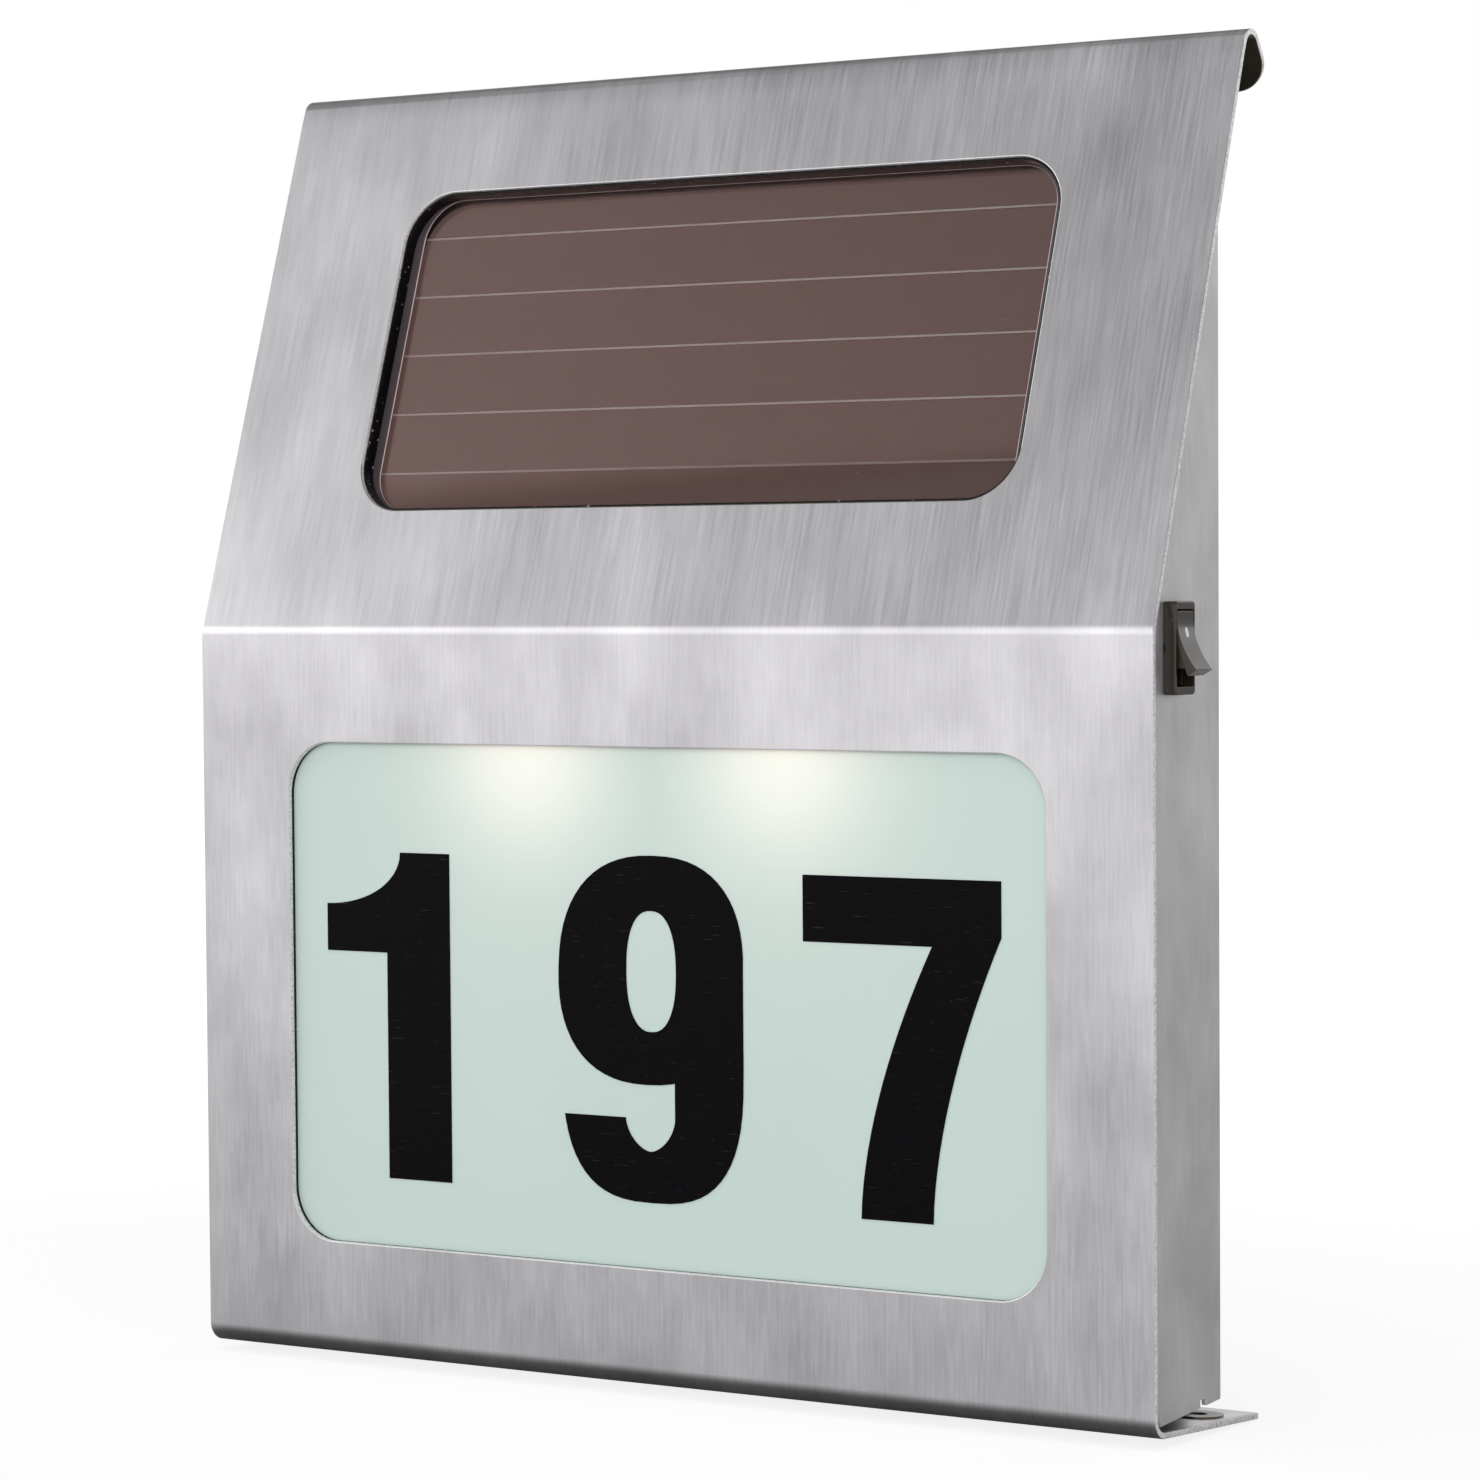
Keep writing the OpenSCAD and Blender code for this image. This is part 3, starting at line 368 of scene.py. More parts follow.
# %% A tree that folds a sheet
def new_tree(name, inputs):
    """A Geometry Nodes tree with named inputs, and its two end nodes."""
    tree = bpy.data.node_groups.new(name, "GeometryNodeTree")
    tree.interface.new_socket("Geometry", in_out="INPUT", socket_type="NodeSocketGeometry")
    for label, kind in inputs.items():
        tree.interface.new_socket(label, in_out="INPUT", socket_type=kind)
    tree.interface.new_socket("Geometry", in_out="OUTPUT", socket_type="NodeSocketGeometry")
    return tree, add(tree, "NodeGroupInput").outputs


def end_tree(tree, geometry, material=None):
    """Makes the result real and paints it. Without a material, each part keeps its own."""
    last = add(tree, "GeometryNodeRealizeInstances", {"Geometry": geometry})
    if material:
        last = add(tree, "GeometryNodeSetMaterial", {"Geometry": last, "Material": material})
    add(tree, "NodeGroupOutput", {"Geometry": last})


def folded_sheet_tree():
    tree, given = new_tree("folded_sheet", {"Width": "NodeSocketFloat", "Thickness": "NodeSocketFloat",
        "Steps": "NodeSocketInt", "Material": "NodeSocketMaterial"})
    path = add(tree, "GeometryNodeMeshToCurve", {"Mesh": given["Geometry"]})
    radius = add(tree, "GeometryNodeInputNamedAttribute", {"Name": "bend_radius"}, data_type="FLOAT")
    bent = add(tree, "GeometryNodeFilletCurve", {"Curve": path, "Radius": radius, "Count": given["Steps"],
        "Limit Radius": True}, mode="POLY")
    section = add(tree, "GeometryNodeCurvePrimitiveQuadrilateral",
        {"Width": given["Width"], "Height": given["Thickness"]})
    sheet = add(tree, "GeometryNodeCurveToMesh", {"Curve": bent, "Profile Curve": section, "Fill Caps": True})
    end_tree(tree, sheet, given["Material"])
    return tree


folded_sheet = folded_sheet_tree()


# %% Growing a piece from a tree
def grow(name, start, tree, **inputs):
    """Runs a tree on a start mesh and keeps the result as a plain mesh."""
    seed = link(name + "_seed", start)
    modifier = seed.modifiers.new("grow", "NODES")
    modifier.node_group = tree
    sockets = {item.name: item.identifier for item in tree.interface.items_tree if item.in_out == "INPUT"}
    for label, value in inputs.items():
        modifier[sockets[label.replace("_", " ")]] = value
    view = bpy.context.evaluated_depsgraph_get()
    mesh = bpy.data.meshes.new_from_object(seed.evaluated_get(view), depsgraph=view)
    bpy.data.objects.remove(seed)
    mesh.name = name
    return link(name, mesh)


def path_mesh(points, **attributes):
    """A line through points, with a number for each point in every attribute."""
    mesh = bpy.data.meshes.new("path")
    mesh.from_pydata([tuple(p) for p in points], [(i, i + 1) for i in range(len(points) - 1)], [])
    for label, values in attributes.items():
        store = mesh.attributes.new(label, "FLOAT", "POINT")
        store.data.foreach_set("value", values)
    return mesh


# %% The cover's side path
SHEET = 1.0
COVER_WIDE, FLANGE_DEEP, FLAP_LONG = 190, 34.2, 8.8
LEAN = math.radians(18)
BEND_Z = 127.0
FLAP_DROP = math.radians(57)
FLANGE_TILT = math.radians(2.7)
RIDGE_R = 1.8
# Middles of the two windows, up their faces
NUMBER_MIDDLE, SOLAR_MIDDLE = 21.2 + 43.2, 21.6 + 29.2


def lean_place(x, off, s):
    """A place on the leaning face: x across, off behind it, s up the face from the bend."""
    return (x, s * math.sin(LEAN) + off * math.cos(LEAN), BEND_Z + s * math.cos(LEAN) - off * math.sin(LEAN))


ridge = Vector(lean_place(0, RIDGE_R + SHEET, 97.4)[1:])
half_turn = (math.pi / 2 - LEAN + FLAP_DROP) / 2
half_way = (math.pi - LEAN + math.pi / 2 - FLAP_DROP) / 2
mid_r = RIDGE_R + SHEET / 2
ridge_corner = ridge + mid_r / math.cos(half_turn) * Vector((math.cos(half_way), math.sin(half_way)))
flap_start = ridge + mid_r * Vector((math.sin(FLAP_DROP), math.cos(FLAP_DROP)))
flap_end = flap_start + FLAP_LONG * Vector((math.cos(FLAP_DROP), -math.sin(FLAP_DROP)))
flange_end = Vector((FLANGE_DEEP, 0)) + SHEET / 2 * Vector((math.sin(FLANGE_TILT), math.cos(FLANGE_TILT)))
flange_front_z = flange_end.y + (flange_end.x - SHEET / 2) * math.tan(FLANGE_TILT)
bend_corner = Vector((SHEET / 2, BEND_Z - SHEET / 2 * math.tan(LEAN / 2)))
# The face begins to curve a little before the ridge, as rolled sheet does beside a tight bend
EARLY, EARLY_TURN, EARLY_R = 6.6, math.radians(3), 57
face_way = (ridge_corner - bend_corner).normalized()
early_corner = ridge_corner - (EARLY + 0.1) * face_way
turned_way = Vector((face_way.x * math.cos(EARLY_TURN) + face_way.y * math.sin(EARLY_TURN),
    face_way.y * math.cos(EARLY_TURN) - face_way.x * math.sin(EARLY_TURN)))
side_path = [flange_end, Vector((SHEET / 2, flange_front_z)), bend_corner, early_corner,
    early_corner + EARLY * turned_way, flap_end]
bend_radii = [0, 2.5 + SHEET / 2, 4.5 + SHEET / 2, EARLY_R, mid_r, 0]

cover = grow("cover_sheet", path_mesh([at(0, p.x, p.y) for p in side_path],
    bend_radius=[r * MM for r in bend_radii]), folded_sheet, Width=COVER_WIDE * MM, Thickness=SHEET * MM,
    Steps=24, Material=stainless)


def box_of(piece):
    """Lowest and highest corner of a piece's mesh."""
    places = [v.co for v in piece.data.vertices]
    return (Vector([min(p[i] for p in places) for i in range(3)]),
        Vector([max(p[i] for p in places) for i in range(3)]))


# %% [markdown]
# ## Windows and holes
#
# A laser cuts the two windows, and a punch the nut holes. Each cutter is a prism: an outline drawn flat,
# pushed along its own Z. Boolean takes the prisms out of the sheet. After that the edges are
# eased by about a fifth of a millimetre, as a brush wheel does, because an edge that is truly sharp
# never catches the light.

# %% Outlines, prisms and cutting
def rounded_outline(width, height, radius, steps=16):
    """A rectangle with round corners, as points counted anticlockwise about its middle."""
    points = []
    for quarter, (sx, sy) in enumerate(((1, 1), (-1, 1), (-1, -1), (1, -1))):
        for k in range(steps + 1):
            turn = math.pi / 2 * (quarter + k / steps)
            points.append((sx * (width / 2 - radius) + radius * math.cos(turn),
                sy * (height / 2 - radius) + radius * math.sin(turn)))
    return points


def ring(radius, steps=48):
    """A circle as an outline."""
    return [(radius * math.cos(math.tau * k / steps), radius * math.sin(math.tau * k / steps))
        for k in range(steps)]


def point_outwards(mesh):
    """Turns every face of a closed mesh outwards."""
    work = bmesh.new()
    work.from_mesh(mesh)
    bmesh.ops.recalc_face_normals(work, faces=work.faces)
    work.to_mesh(mesh)
    work.free()


def prism(name, outline, low, high, place):
    """Pushes a flat outline from low to high along Z, then puts it in place. All in mm."""
    count = len(outline)
    points = [place @ Vector((x, y, z)) for z in (low, high) for x, y in outline]
    sides = [(i, (i + 1) % count, count + (i + 1) % count, count + i) for i in range(count)]
    mesh = bpy.data.meshes.new(name)
    mesh.from_pydata([at(*p) for p in points], [], [tuple(range(count))[::-1], tuple(range(count, 2 * count)),
        *sides])
    point_outwards(mesh)
    return link(name, mesh)


def cut(piece, cutters):
    """Takes the cutters out of a piece and deletes them."""
    for cutter in cutters:
        modifier = piece.modifiers.new("cut", "BOOLEAN")
        modifier.operation = "DIFFERENCE"
        modifier.solver = "EXACT"
        modifier.object = cutter
    settle(piece)
    for cutter in cutters:
        bpy.data.objects.remove(cutter)


def settle(piece):
    """Turns a piece with modifiers into a plain mesh."""
    view = bpy.context.evaluated_depsgraph_get()
    mesh = bpy.data.meshes.new_from_object(piece.evaluated_get(view), depsgraph=view)
    piece.modifiers.clear()
    piece.data = mesh


def boolean(piece, other, how):
    """Joins, cuts or trims a piece with another, and deletes the other."""
    modifier = piece.modifiers.new("boolean", "BOOLEAN")
    modifier.operation, modifier.solver, modifier.object = how, "EXACT", other
    settle(piece)
    bpy.data.objects.remove(other)


def face_on(x, y, z):
    """Frame of an upright face: X to the right, Y up, Z out to the front."""
    return Matrix.Translation((x, y, z)) @ Matrix.Rotation(math.pi / 2, 4, "X")


def lean_on(x, off, s):
    """Frame of the leaning face: X to the right, Y up the face, Z out to the front."""
    return Matrix.Translation(lean_place(x, off, s)) @ Matrix.Rotation(math.pi / 2 - LEAN, 4, "X")


def flange_on(side):
    """Frame of a flange nut: Z square on the flange, from its underside."""
    edge = Matrix.Translation((side * (COVER_WIDE / 2 - 6), FLANGE_DEEP, 0)) @ Matrix.Rotation(-FLANGE_TILT,
        4, "X")
    return edge @ Matrix.Translation((0, -9.7, 0))


def flap_on(side, r):
    """Frame of a corner of the flap: X to the right, Y down the flap, Z through the sheet."""
    return (Matrix.Translation((side * (COVER_WIDE / 2 - r), flap_end.x, flap_end.y))
        @ Matrix.Rotation(-FLAP_DROP, 4, "X") @ Matrix.Translation((0, -r, 0)))


def corner_outline(side, r):
    """What rounding takes off a corner."""
    arc = [(side * r * math.cos(a), r * math.sin(a)) for a in (math.pi / 2 * k / 16 for k in range(17))]
    return [*arc, (0, r + 1), (side * (r + 1), r + 1), (side * (r + 1), 0)]


# %% [markdown]
# The frame of a Matrix.Rotation about X by 90 degrees turns a drawing's Y to the row's Z, which is
# what a face seen from the front needs.

# %% Cut the cover
cutters = [prism("cut_number", rounded_outline(151.6, 86.4, 9), -3, 1, face_on(0, 0, NUMBER_MIDDLE)),
    prism("cut_solar", rounded_outline(132.4, 58.4, 9.4), -3, 1, lean_on(0, 0, SOLAR_MIDDLE))]
for side in (-1, 1):
    cutters.append(prism("cut_nut", ring(2.9), -1, 2, flange_on(side)))
    cutters.append(prism("cut_flap", corner_outline(side, 6), -1, 1, flap_on(side, 6)))
cut(cover, cutters)
print("cover faces:", len(cover.data.polygons))


# %% Ease the edges, mark the cut rims and lay the grain
def ease(piece, width, segments=2, sharp=35):
    """Rounds every edge of a piece that turns more than the sharp angle. Width in mm."""
    work = bmesh.new()
    work.from_mesh(piece.data)
    bmesh.ops.remove_doubles(work, verts=work.verts, dist=0.002 * MM)
    bmesh.ops.dissolve_limit(work, angle_limit=math.radians(0.2), verts=work.verts, edges=work.edges)
    edges = [e for e in work.edges if len(e.link_faces) == 2 and e.calc_face_angle(0) > math.radians(sharp)]
    if width:
        bmesh.ops.bevel(work, geom=edges, offset=width * MM, offset_type="OFFSET", segments=segments,
            profile=0.5, affect="EDGES", clamp_overlap=False)
    bmesh.ops.recalc_face_normals(work, faces=work.faces)
    work.to_mesh(piece.data)
    work.free()
    piece.data.shade_smooth()
    piece.data.set_sharp_from_angle(angle=math.radians(28))
    weigh = piece.modifiers.new("weigh", "WEIGHTED_NORMAL")
    weigh.mode = "FACE_AREA"
    weigh.keep_sharp = True
    settle(piece)


def mark_rims(piece, thickness):
    """Stores 1 on the faces that were cut through the sheet, and 0 on its two skins."""
    mesh = piece.data
    mesh.calc_loop_triangles()
    tree = BVHTree.FromPolygons([v.co for v in mesh.vertices], [tuple(t.vertices)
        for t in mesh.loop_triangles])
    largest = {}
    for triangle in mesh.loop_triangles:
        held = largest.get(triangle.polygon_index)
        if held is None or triangle.area > held.area:
            largest[triangle.polygon_index] = triangle
    rim = [0.0] * len(mesh.polygons)
    for index, triangle in largest.items():
        centre = sum((mesh.vertices[v].co for v in triangle.vertices), Vector()) / 3
        hit = tree.ray_cast(centre - triangle.normal * 0.001 * MM, -triangle.normal)
        rim[index] = 0.0 if hit[3] and hit[3] < 1.3 * thickness * MM else 1.0
    mesh.attributes.new("rim", "FLOAT", "FACE").data.foreach_set("value", rim)
    print(piece.name, "rim faces:", int(sum(rim)), "of", len(rim))


def mark_shaded_inside(piece):
    """Stores 1 on the cover's inner skin above the flange, which the steel darkens as painted shade."""
    mesh = piece.data
    marks = []
    for face in mesh.polygons:
        off = Vector((0, *ridge)) - (face.center / MM + Vector((0, WALL_Y, HOLE_Z)))
        upper = off.z < ridge.y - BEND_Z
        marks.append(1.0 if (face.normal.dot(Vector((0, off.y, off.z))) > 0.3
            if upper else face.normal.y > 0.5) else 0.0)
    mesh.attributes.new("inside", "FLOAT", "FACE").data.foreach_set("value", marks)
    print(piece.name, "inside faces:", int(sum(marks)), "of", len(marks))


def lay_grain(piece):
    """A UV map in metres, whose U runs across the grain and V along it."""
    grain = piece.data.uv_layers.new(name="sheet")
    for face in piece.data.polygons:
        sideways = abs(face.normal.x) > 0.7
        for loop in face.loop_indices:
            place = piece.data.vertices[piece.data.loops[loop].vertex_index].co
            grain.data[loop].uv = (place.y, place.z) if sideways else (place.x, place.z - place.y)


ease(cover, 0.22)
mark_rims(cover, SHEET)
mark_shaded_inside(cover)
lay_grain(cover)


def seat(piece, *stands_for):
    """Hides the CAD nodes that a piece stands for, and lets it ride as they did."""
    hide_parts(*stands_for)
    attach(piece, node_body[stands_for[0]])


def set_in(piece, node, width, **how):
    """Eases a piece and lets it stand for the node."""
    ease(piece, width, **how)
    seat(piece, node)


seat(cover, "front_cover")

# %% [markdown]
# ## Moulded and cast plastics
#
# The tub, door and battery holder are injection-moulded ABS. The mould was spark-eroded, which
# leaves a fine matt texture of about a quarter millimetre, so highlights are broad. The switch is
# polished nylon: almost black, with a sharp reflection and a little dust.

# %% Plastics
def speckle(tree, size, detail=2.0, roughness=0.5):
    """Noise in object coordinates whose grains are about size metres wide."""
    place = add(tree, "ShaderNodeTexCoord")
    return add(tree, "ShaderNodeTexNoise", {"Vector": out(place, "Object"), "Scale": 0.5 / size,
        "Detail": detail, "Roughness": roughness})


def moulded(name, dark, light, grain, roughness, depth, **fixed):
    """A moulded plastic: two close shades, and a texture of the given grain and depth in metres."""
    material, tree = start_material(name)
    texture = speckle(tree, grain)
    flow = speckle(tree, 0.012, 3.0)
    shade = add(tree, "ShaderNodeMapRange", {"Value": out(flow, "Fac"), "From Min": 0.35, "From Max": 0.65})
    colour = add(tree, "ShaderNodeMix", {"Factor": shade, "A": dark, "B": light}, data_type="RGBA")
    rough = add(tree, "ShaderNodeMapRange", {"Value": out(flow, "Fac"), "From Min": 0.3, "From Max": 0.7,
        "To Min": roughness - 0.05, "To Max": roughness + 0.05})
    bump = add(tree, "ShaderNodeBump", {"Height": out(texture, "Fac"), "Strength": 0.6, "Distance": depth})
    plastic = add(tree, "ShaderNodeBsdfPrincipled", {"Base Color": colour, "Roughness": rough, "IOR": 1.5,
        **fixed})
    finish_material(tree, plastic, bump)
    return material


black_abs = moulded("black_moulded_abs", "#19191b", "#222224", 0.00025, 0.5, 0.00004)
white_abs = moulded("white_moulded_abs", "#e4e4df", "#eeeee9", 0.0004, 0.35, 0.00001)
epoxy = moulded("black_chip_epoxy", "#17171a", "#1f1f22", 0.0002, 0.45, 0.00002)
ferrite = moulded("grey_ferrite", "#2b2b2e", "#38383b", 0.0003, 0.55, 0.00003)
print("materials:", [m.name for m in bpy.data.materials])

# %% [markdown]
# ## Foam seals
#
# Three seals of closed-cell EPDM foam keep the rain out. It is black, quite matt, and its cut edge
# shows small open cells.

# %% Foam
foam, tree = start_material("black_epdm_foam")
place = add(tree, "ShaderNodeTexCoord")
cells = add(tree, "ShaderNodeTexVoronoi", {"Vector": out(place, "Object"), "Scale": 1 / 0.0004})
dirt = speckle(tree, 0.003, 4.0)
tone = add(tree, "ShaderNodeMix", {"Factor": out(dirt, "Fac"), "A": "#151316",
    "B": "#262328"}, data_type="RGBA")
bump = add(tree, "ShaderNodeBump", {"Height": out(cells, "Distance"), "Strength": 0.7, "Distance": 0.00008})
rubber = add(tree, "ShaderNodeBsdfPrincipled", {"Base Color": tone, "Roughness": 0.75, "IOR": 1.5})
finish_material(tree, rubber, bump)

# The lips that show in the windows are solid EPDM rubber with a moulded skin: blacker and glossier
gasket, tree = start_material("black_epdm_rubber")
dust = speckle(tree, 0.0004, 1.0)
speck = add(tree, "ShaderNodeMapRange", {"Value": out(dust, "Fac"), "From Min": 0.70, "From Max": 0.78})
tone = add(tree, "ShaderNodeMix", {"Factor": speck, "A": "#070607", "B": "#a8a4a6"}, data_type="RGBA")
skin = speckle(tree, 0.0006, 3.0)
bump = add(tree, "ShaderNodeBump", {"Height": out(skin, "Fac"), "Strength": 0.3, "Distance": 0.00004})
rubber = add(tree, "ShaderNodeBsdfPrincipled", {"Base Color": tone, "Roughness": 0.28, "IOR": 1.45,
    "Specular IOR Level": 0.25})
finish_material(tree, rubber, bump)

# %% [markdown]
# ## The opal number panel
#
# The panel is cast acrylic with a white pigment and a touch of green, 3 mm thick. Two small lamps
# above it shine down into the tray behind it, so its upper edge glows warm white below each
# lamp and the glow fades downwards. The glow is a bell curve about each lamp; because the lamps
# stand at equal distances from the middle, one curve on the absolute X serves both.

# %% Opal acrylic
LAMP_X = 0.026
lamp_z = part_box("lamps")[0].z

opal, tree = start_material("opal_cast_acrylic")
place = add(tree, "ShaderNodeSeparateXYZ", {0: out(add(tree, "ShaderNodeTexCoord"), "Object")})
aside = add(tree, "ShaderNodeMath", {0: out(place, "X")}, operation="ABSOLUTE")


# A bell curve falls to one part in e at its half width
ONE_IN_E = 0.36788


def bell(tree, aside, height, wide, tall):
    """A bell curve about a lamp, with its half widths in metres."""
    across = add(tree, "ShaderNodeMath", {0: aside, 1: LAMP_X}, operation="SUBTRACT")
    across = add(tree, "ShaderNodeMath", {0: across, 1: wide}, operation="DIVIDE")
    across = add(tree, "ShaderNodeMath", {0: across, 1: 2.0}, operation="POWER")
    down = add(tree, "ShaderNodeMath", {0: height, 1: lamp_z}, operation="SUBTRACT")
    down = add(tree, "ShaderNodeMath", {0: down, 1: tall}, operation="DIVIDE")
    down = add(tree, "ShaderNodeMath", {0: down, 1: 2.0}, operation="POWER")
    both = add(tree, "ShaderNodeMath", {0: across, 1: down}, operation="ADD")
    return add(tree, "ShaderNodeMath", {0: ONE_IN_E, 1: both}, operation="POWER")


near = bell(tree, aside, out(place, "Z"), 0.017, 0.017)
far = bell(tree, aside, out(place, "Z"), 0.040, 0.060)
lit = add(tree, "ShaderNodeMath", {0: near, 1: 0.36}, operation="MULTIPLY")
lit = add(tree, "ShaderNodeMath", {0: far, 1: 0.05, 2: lit}, operation="MULTIPLY_ADD")
clouds = speckle(tree, 0.03, 2.0)
mint = add(tree, "ShaderNodeMix", {"Factor": out(clouds, "Fac"), "A": "#cee1da",
    "B": "#d7e9e3"}, data_type="RGBA")
acrylic = add(tree, "ShaderNodeBsdfPrincipled", {"Base Color": mint, "Roughness": 0.12, "IOR": 1.49,
    "Emission Color": (1.0, 0.74, 0.64, 1), "Emission Strength": lit})
finish_material(tree, acrylic)

# %% [markdown]
# ## Cut film figures
#
# The figures are black vinyl film, cut on a plotter and pressed on. Film isn't quite black, has a satin
# surface, and picks up fine scratches and specks of dust.

# %% Film
film, tree = start_material("black_vinyl_film")
place = add(tree, "ShaderNodeTexCoord")
dust = add(tree, "ShaderNodeTexVoronoi", {"Vector": out(place, "Object"), "Scale": 1 / 0.0022})
speck = add(tree, "ShaderNodeMapRange", {"Value": out(dust, "Distance"), "From Min": 0.035, "From Max": 0.06,
    "To Min": 0.35, "To Max": 0.0})
orange = speckle(tree, 0.0008, 3.0)
tone = add(tree, "ShaderNodeMix", {"Factor": speck, "A": "#050306", "B": "#5b5662"}, data_type="RGBA")
# Hairline scratches 0.15 mm wide and a few mm long, slanting
slant = add(tree, "ShaderNodeMapping", {"Vector": out(place, "Object"), "Rotation": (0, math.radians(35), 0),
    "Scale": (1 / 0.0045, 1 / 0.0045, 1 / 0.00025)})
hair = add(tree, "ShaderNodeTexNoise", {"Vector": slant, "Scale": 1.0, "Detail": 1.0})
scratch = add(tree, "ShaderNodeMapRange", {"Value": out(hair, "Fac"), "From Min": 0.68, "From Max": 0.78,
    "To Min": 0.0, "To Max": 0.5})
tone = add(tree, "ShaderNodeMix", {"Factor": scratch, "A": tone, "B": "#4a4449"}, data_type="RGBA")
bump = add(tree, "ShaderNodeBump", {"Height": out(orange, "Fac"), "Strength": 0.3, "Distance": 0.00002})
vinyl = add(tree, "ShaderNodeBsdfPrincipled", {"Base Color": tone, "Roughness": 0.35, "IOR": 1.5,
    "Specular IOR Level": 0.06})
finish_material(tree, vinyl, bump)

# %% [markdown]
# ## The solar panel
#
# A thin-film panel is one sheet of float glass, with a silicon film of a few thousandths of a
# millimetre behind it. The film is dark red-brown. A laser divides it into strips, and each cut
# shows as a thin pale line with a fine dark line along it.

# %% Glass and silicon film
# The silicon film behind the glass reflects too, with a red tinge, so the IOR is above plain glass's
glass, tree = start_material("float_glass")
float_glass = add(tree, "ShaderNodeBsdfPrincipled", {"Base Color": (0.97, 0.985, 0.98, 1), "Roughness": 0.02,
    "IOR": 2.35, "Transmission Weight": 1.0, "Specular Tint": (1.0, 0.53, 0.47, 1)})
finish_material(tree, float_glass)

STRIPS = 6
STRIP_PITCH = 10.84 * MM
STRIP_GAP = 0.22 * MM
FIRST_S = 18.86 * MM

silicon, tree = start_material("thin_film_silicon")
up_slope = Vector((0, math.sin(LEAN), math.cos(LEAN)))
bend_line = at(0, 0, BEND_Z).dot(up_slope)
place = add(tree, "ShaderNodeVectorMath", {0: out(add(tree, "ShaderNodeTexCoord"), "Object"), 1: up_slope},
    operation="DOT_PRODUCT")
rise = add(tree, "ShaderNodeMath", {0: out(place, "Value"), 1: bend_line + FIRST_S}, operation="SUBTRACT")
strip = add(tree, "ShaderNodeMath", {0: rise, 1: STRIP_PITCH}, operation="DIVIDE")
strip = add(tree, "ShaderNodeMath", {0: strip}, operation="FRACT")
# A pale line where the laser burned, 0.27 mm wide, and a dark one of 0.29 mm below it
pale = add(tree, "ShaderNodeMath", {0: strip, 1: 0.955}, operation="GREATER_THAN")
line = add(tree, "ShaderNodeMath", {0: strip, 1: 0.928}, operation="GREATER_THAN")
mottle = speckle(tree, 0.006, 4.0)
body = add(tree, "ShaderNodeMix", {"Factor": out(mottle, "Fac"), "A": "#3c3033",
    "B": "#46393c"}, data_type="RGBA")
tone = add(tree, "ShaderNodeMix", {"Factor": line, "A": body, "B": "#150f10"}, data_type="RGBA")
tone = add(tree, "ShaderNodeMix", {"Factor": pale, "A": tone, "B": "#ffdfe4"}, data_type="RGBA")
pits = add(tree, "ShaderNodeTexVoronoi", {"Vector": out(add(tree, "ShaderNodeTexCoord"), "Object"),
    "Scale": 1 / 0.005})
pit = add(tree, "ShaderNodeMapRange", {"Value": out(pits, "Distance"), "From Min": 0.02, "From Max": 0.035,
    "To Min": 0.6, "To Max": 0.0})
tone = add(tree, "ShaderNodeMix", {"Factor": pit, "A": tone, "B": "#c9b3b0"}, data_type="RGBA")
film_surface = add(tree, "ShaderNodeBsdfPrincipled", {"Base Color": tone, "Roughness": 0.35, "IOR": 1.5})
finish_material(tree, film_surface)

# %% [markdown]
# ## Metals of the small parts
#
# Screws, nuts and studs are bright zinc-plated steel, the bracket is galvanised sheet with its pattern
# of zinc crystals, and the contacts are nickel-plated.

# %% Plated metals
def even(name, dark, light, roughness, grain, detail, swing, dent=None, **fixed):
    """Two close shades and a little change of gloss, in grains of a size in metres; dent is a bump."""
    material, tree = start_material(name)
    drift = speckle(tree, grain, detail)
    tone = add(tree, "ShaderNodeMix", {"Factor": out(drift, "Fac"), "A": dark, "B": light}, data_type="RGBA")
    rough = add(tree, "ShaderNodeMapRange", {"Value": out(drift, "Fac"), "From Min": 0.3, "From Max": 0.7,
        "To Min": roughness - swing, "To Max": roughness + swing})
    bump = dent and add(tree, "ShaderNodeBump", {"Height": out(drift, "Fac"), "Strength": 0.2,
        "Distance": dent})
    coat = add(tree, "ShaderNodeBsdfPrincipled", {"Base Color": tone, "Roughness": rough, **fixed})
    finish_material(tree, coat, bump)
    return material


def plated(name, dark, light, roughness):
    """Plated steel: a metal with fine wear."""
    return even(name, dark, light, roughness, 0.0012, 4.0, 0.06, 0.00002, Metallic=1.0)


phosphated = plated("phosphated_steel", "#5a544c", "#8a8378", 0.35)
zinc = plated("bright_zinc_plate", "#a9acb0", "#c6c9cc", 0.3)
nickel = plated("nickel_plate", "#b5b0a6", "#cfcac0", 0.22)
copper = plated("enamelled_copper", "#9c4e2c", "#b8653c", 0.3)

galvanised, tree = start_material("galvanised_sheet")
place = add(tree, "ShaderNodeTexCoord")
# Zinc crystals about 4 mm wide, each with a tone of its own
crystals = add(tree, "ShaderNodeTexVoronoi", {"Vector": out(place, "Object"), "Scale": 1 / 0.004})
pick = add(tree, "ShaderNodeSeparateColor", {0: out(crystals, "Color")})
fine = speckle(tree, 0.0006, 4.0)
shade = add(tree, "ShaderNodeMix", {"Factor": 0.35, "A": out(pick, "Red"), "B": out(fine, "Fac")})
tone = add(tree, "ShaderNodeMix", {"Factor": shade, "A": "#a2a6a9", "B": "#c3c7c9"}, data_type="RGBA")
rough = add(tree, "ShaderNodeMapRange", {"Value": shade, "To Min": 0.32, "To Max": 0.5})
bump = add(tree, "ShaderNodeBump", {"Height": out(fine, "Fac"), "Strength": 0.2, "Distance": 0.00003})
zinc_coat = add(tree, "ShaderNodeBsdfPrincipled", {"Base Color": tone, "Metallic": 1.0, "Roughness": rough})
finish_material(tree, zinc_coat, bump)

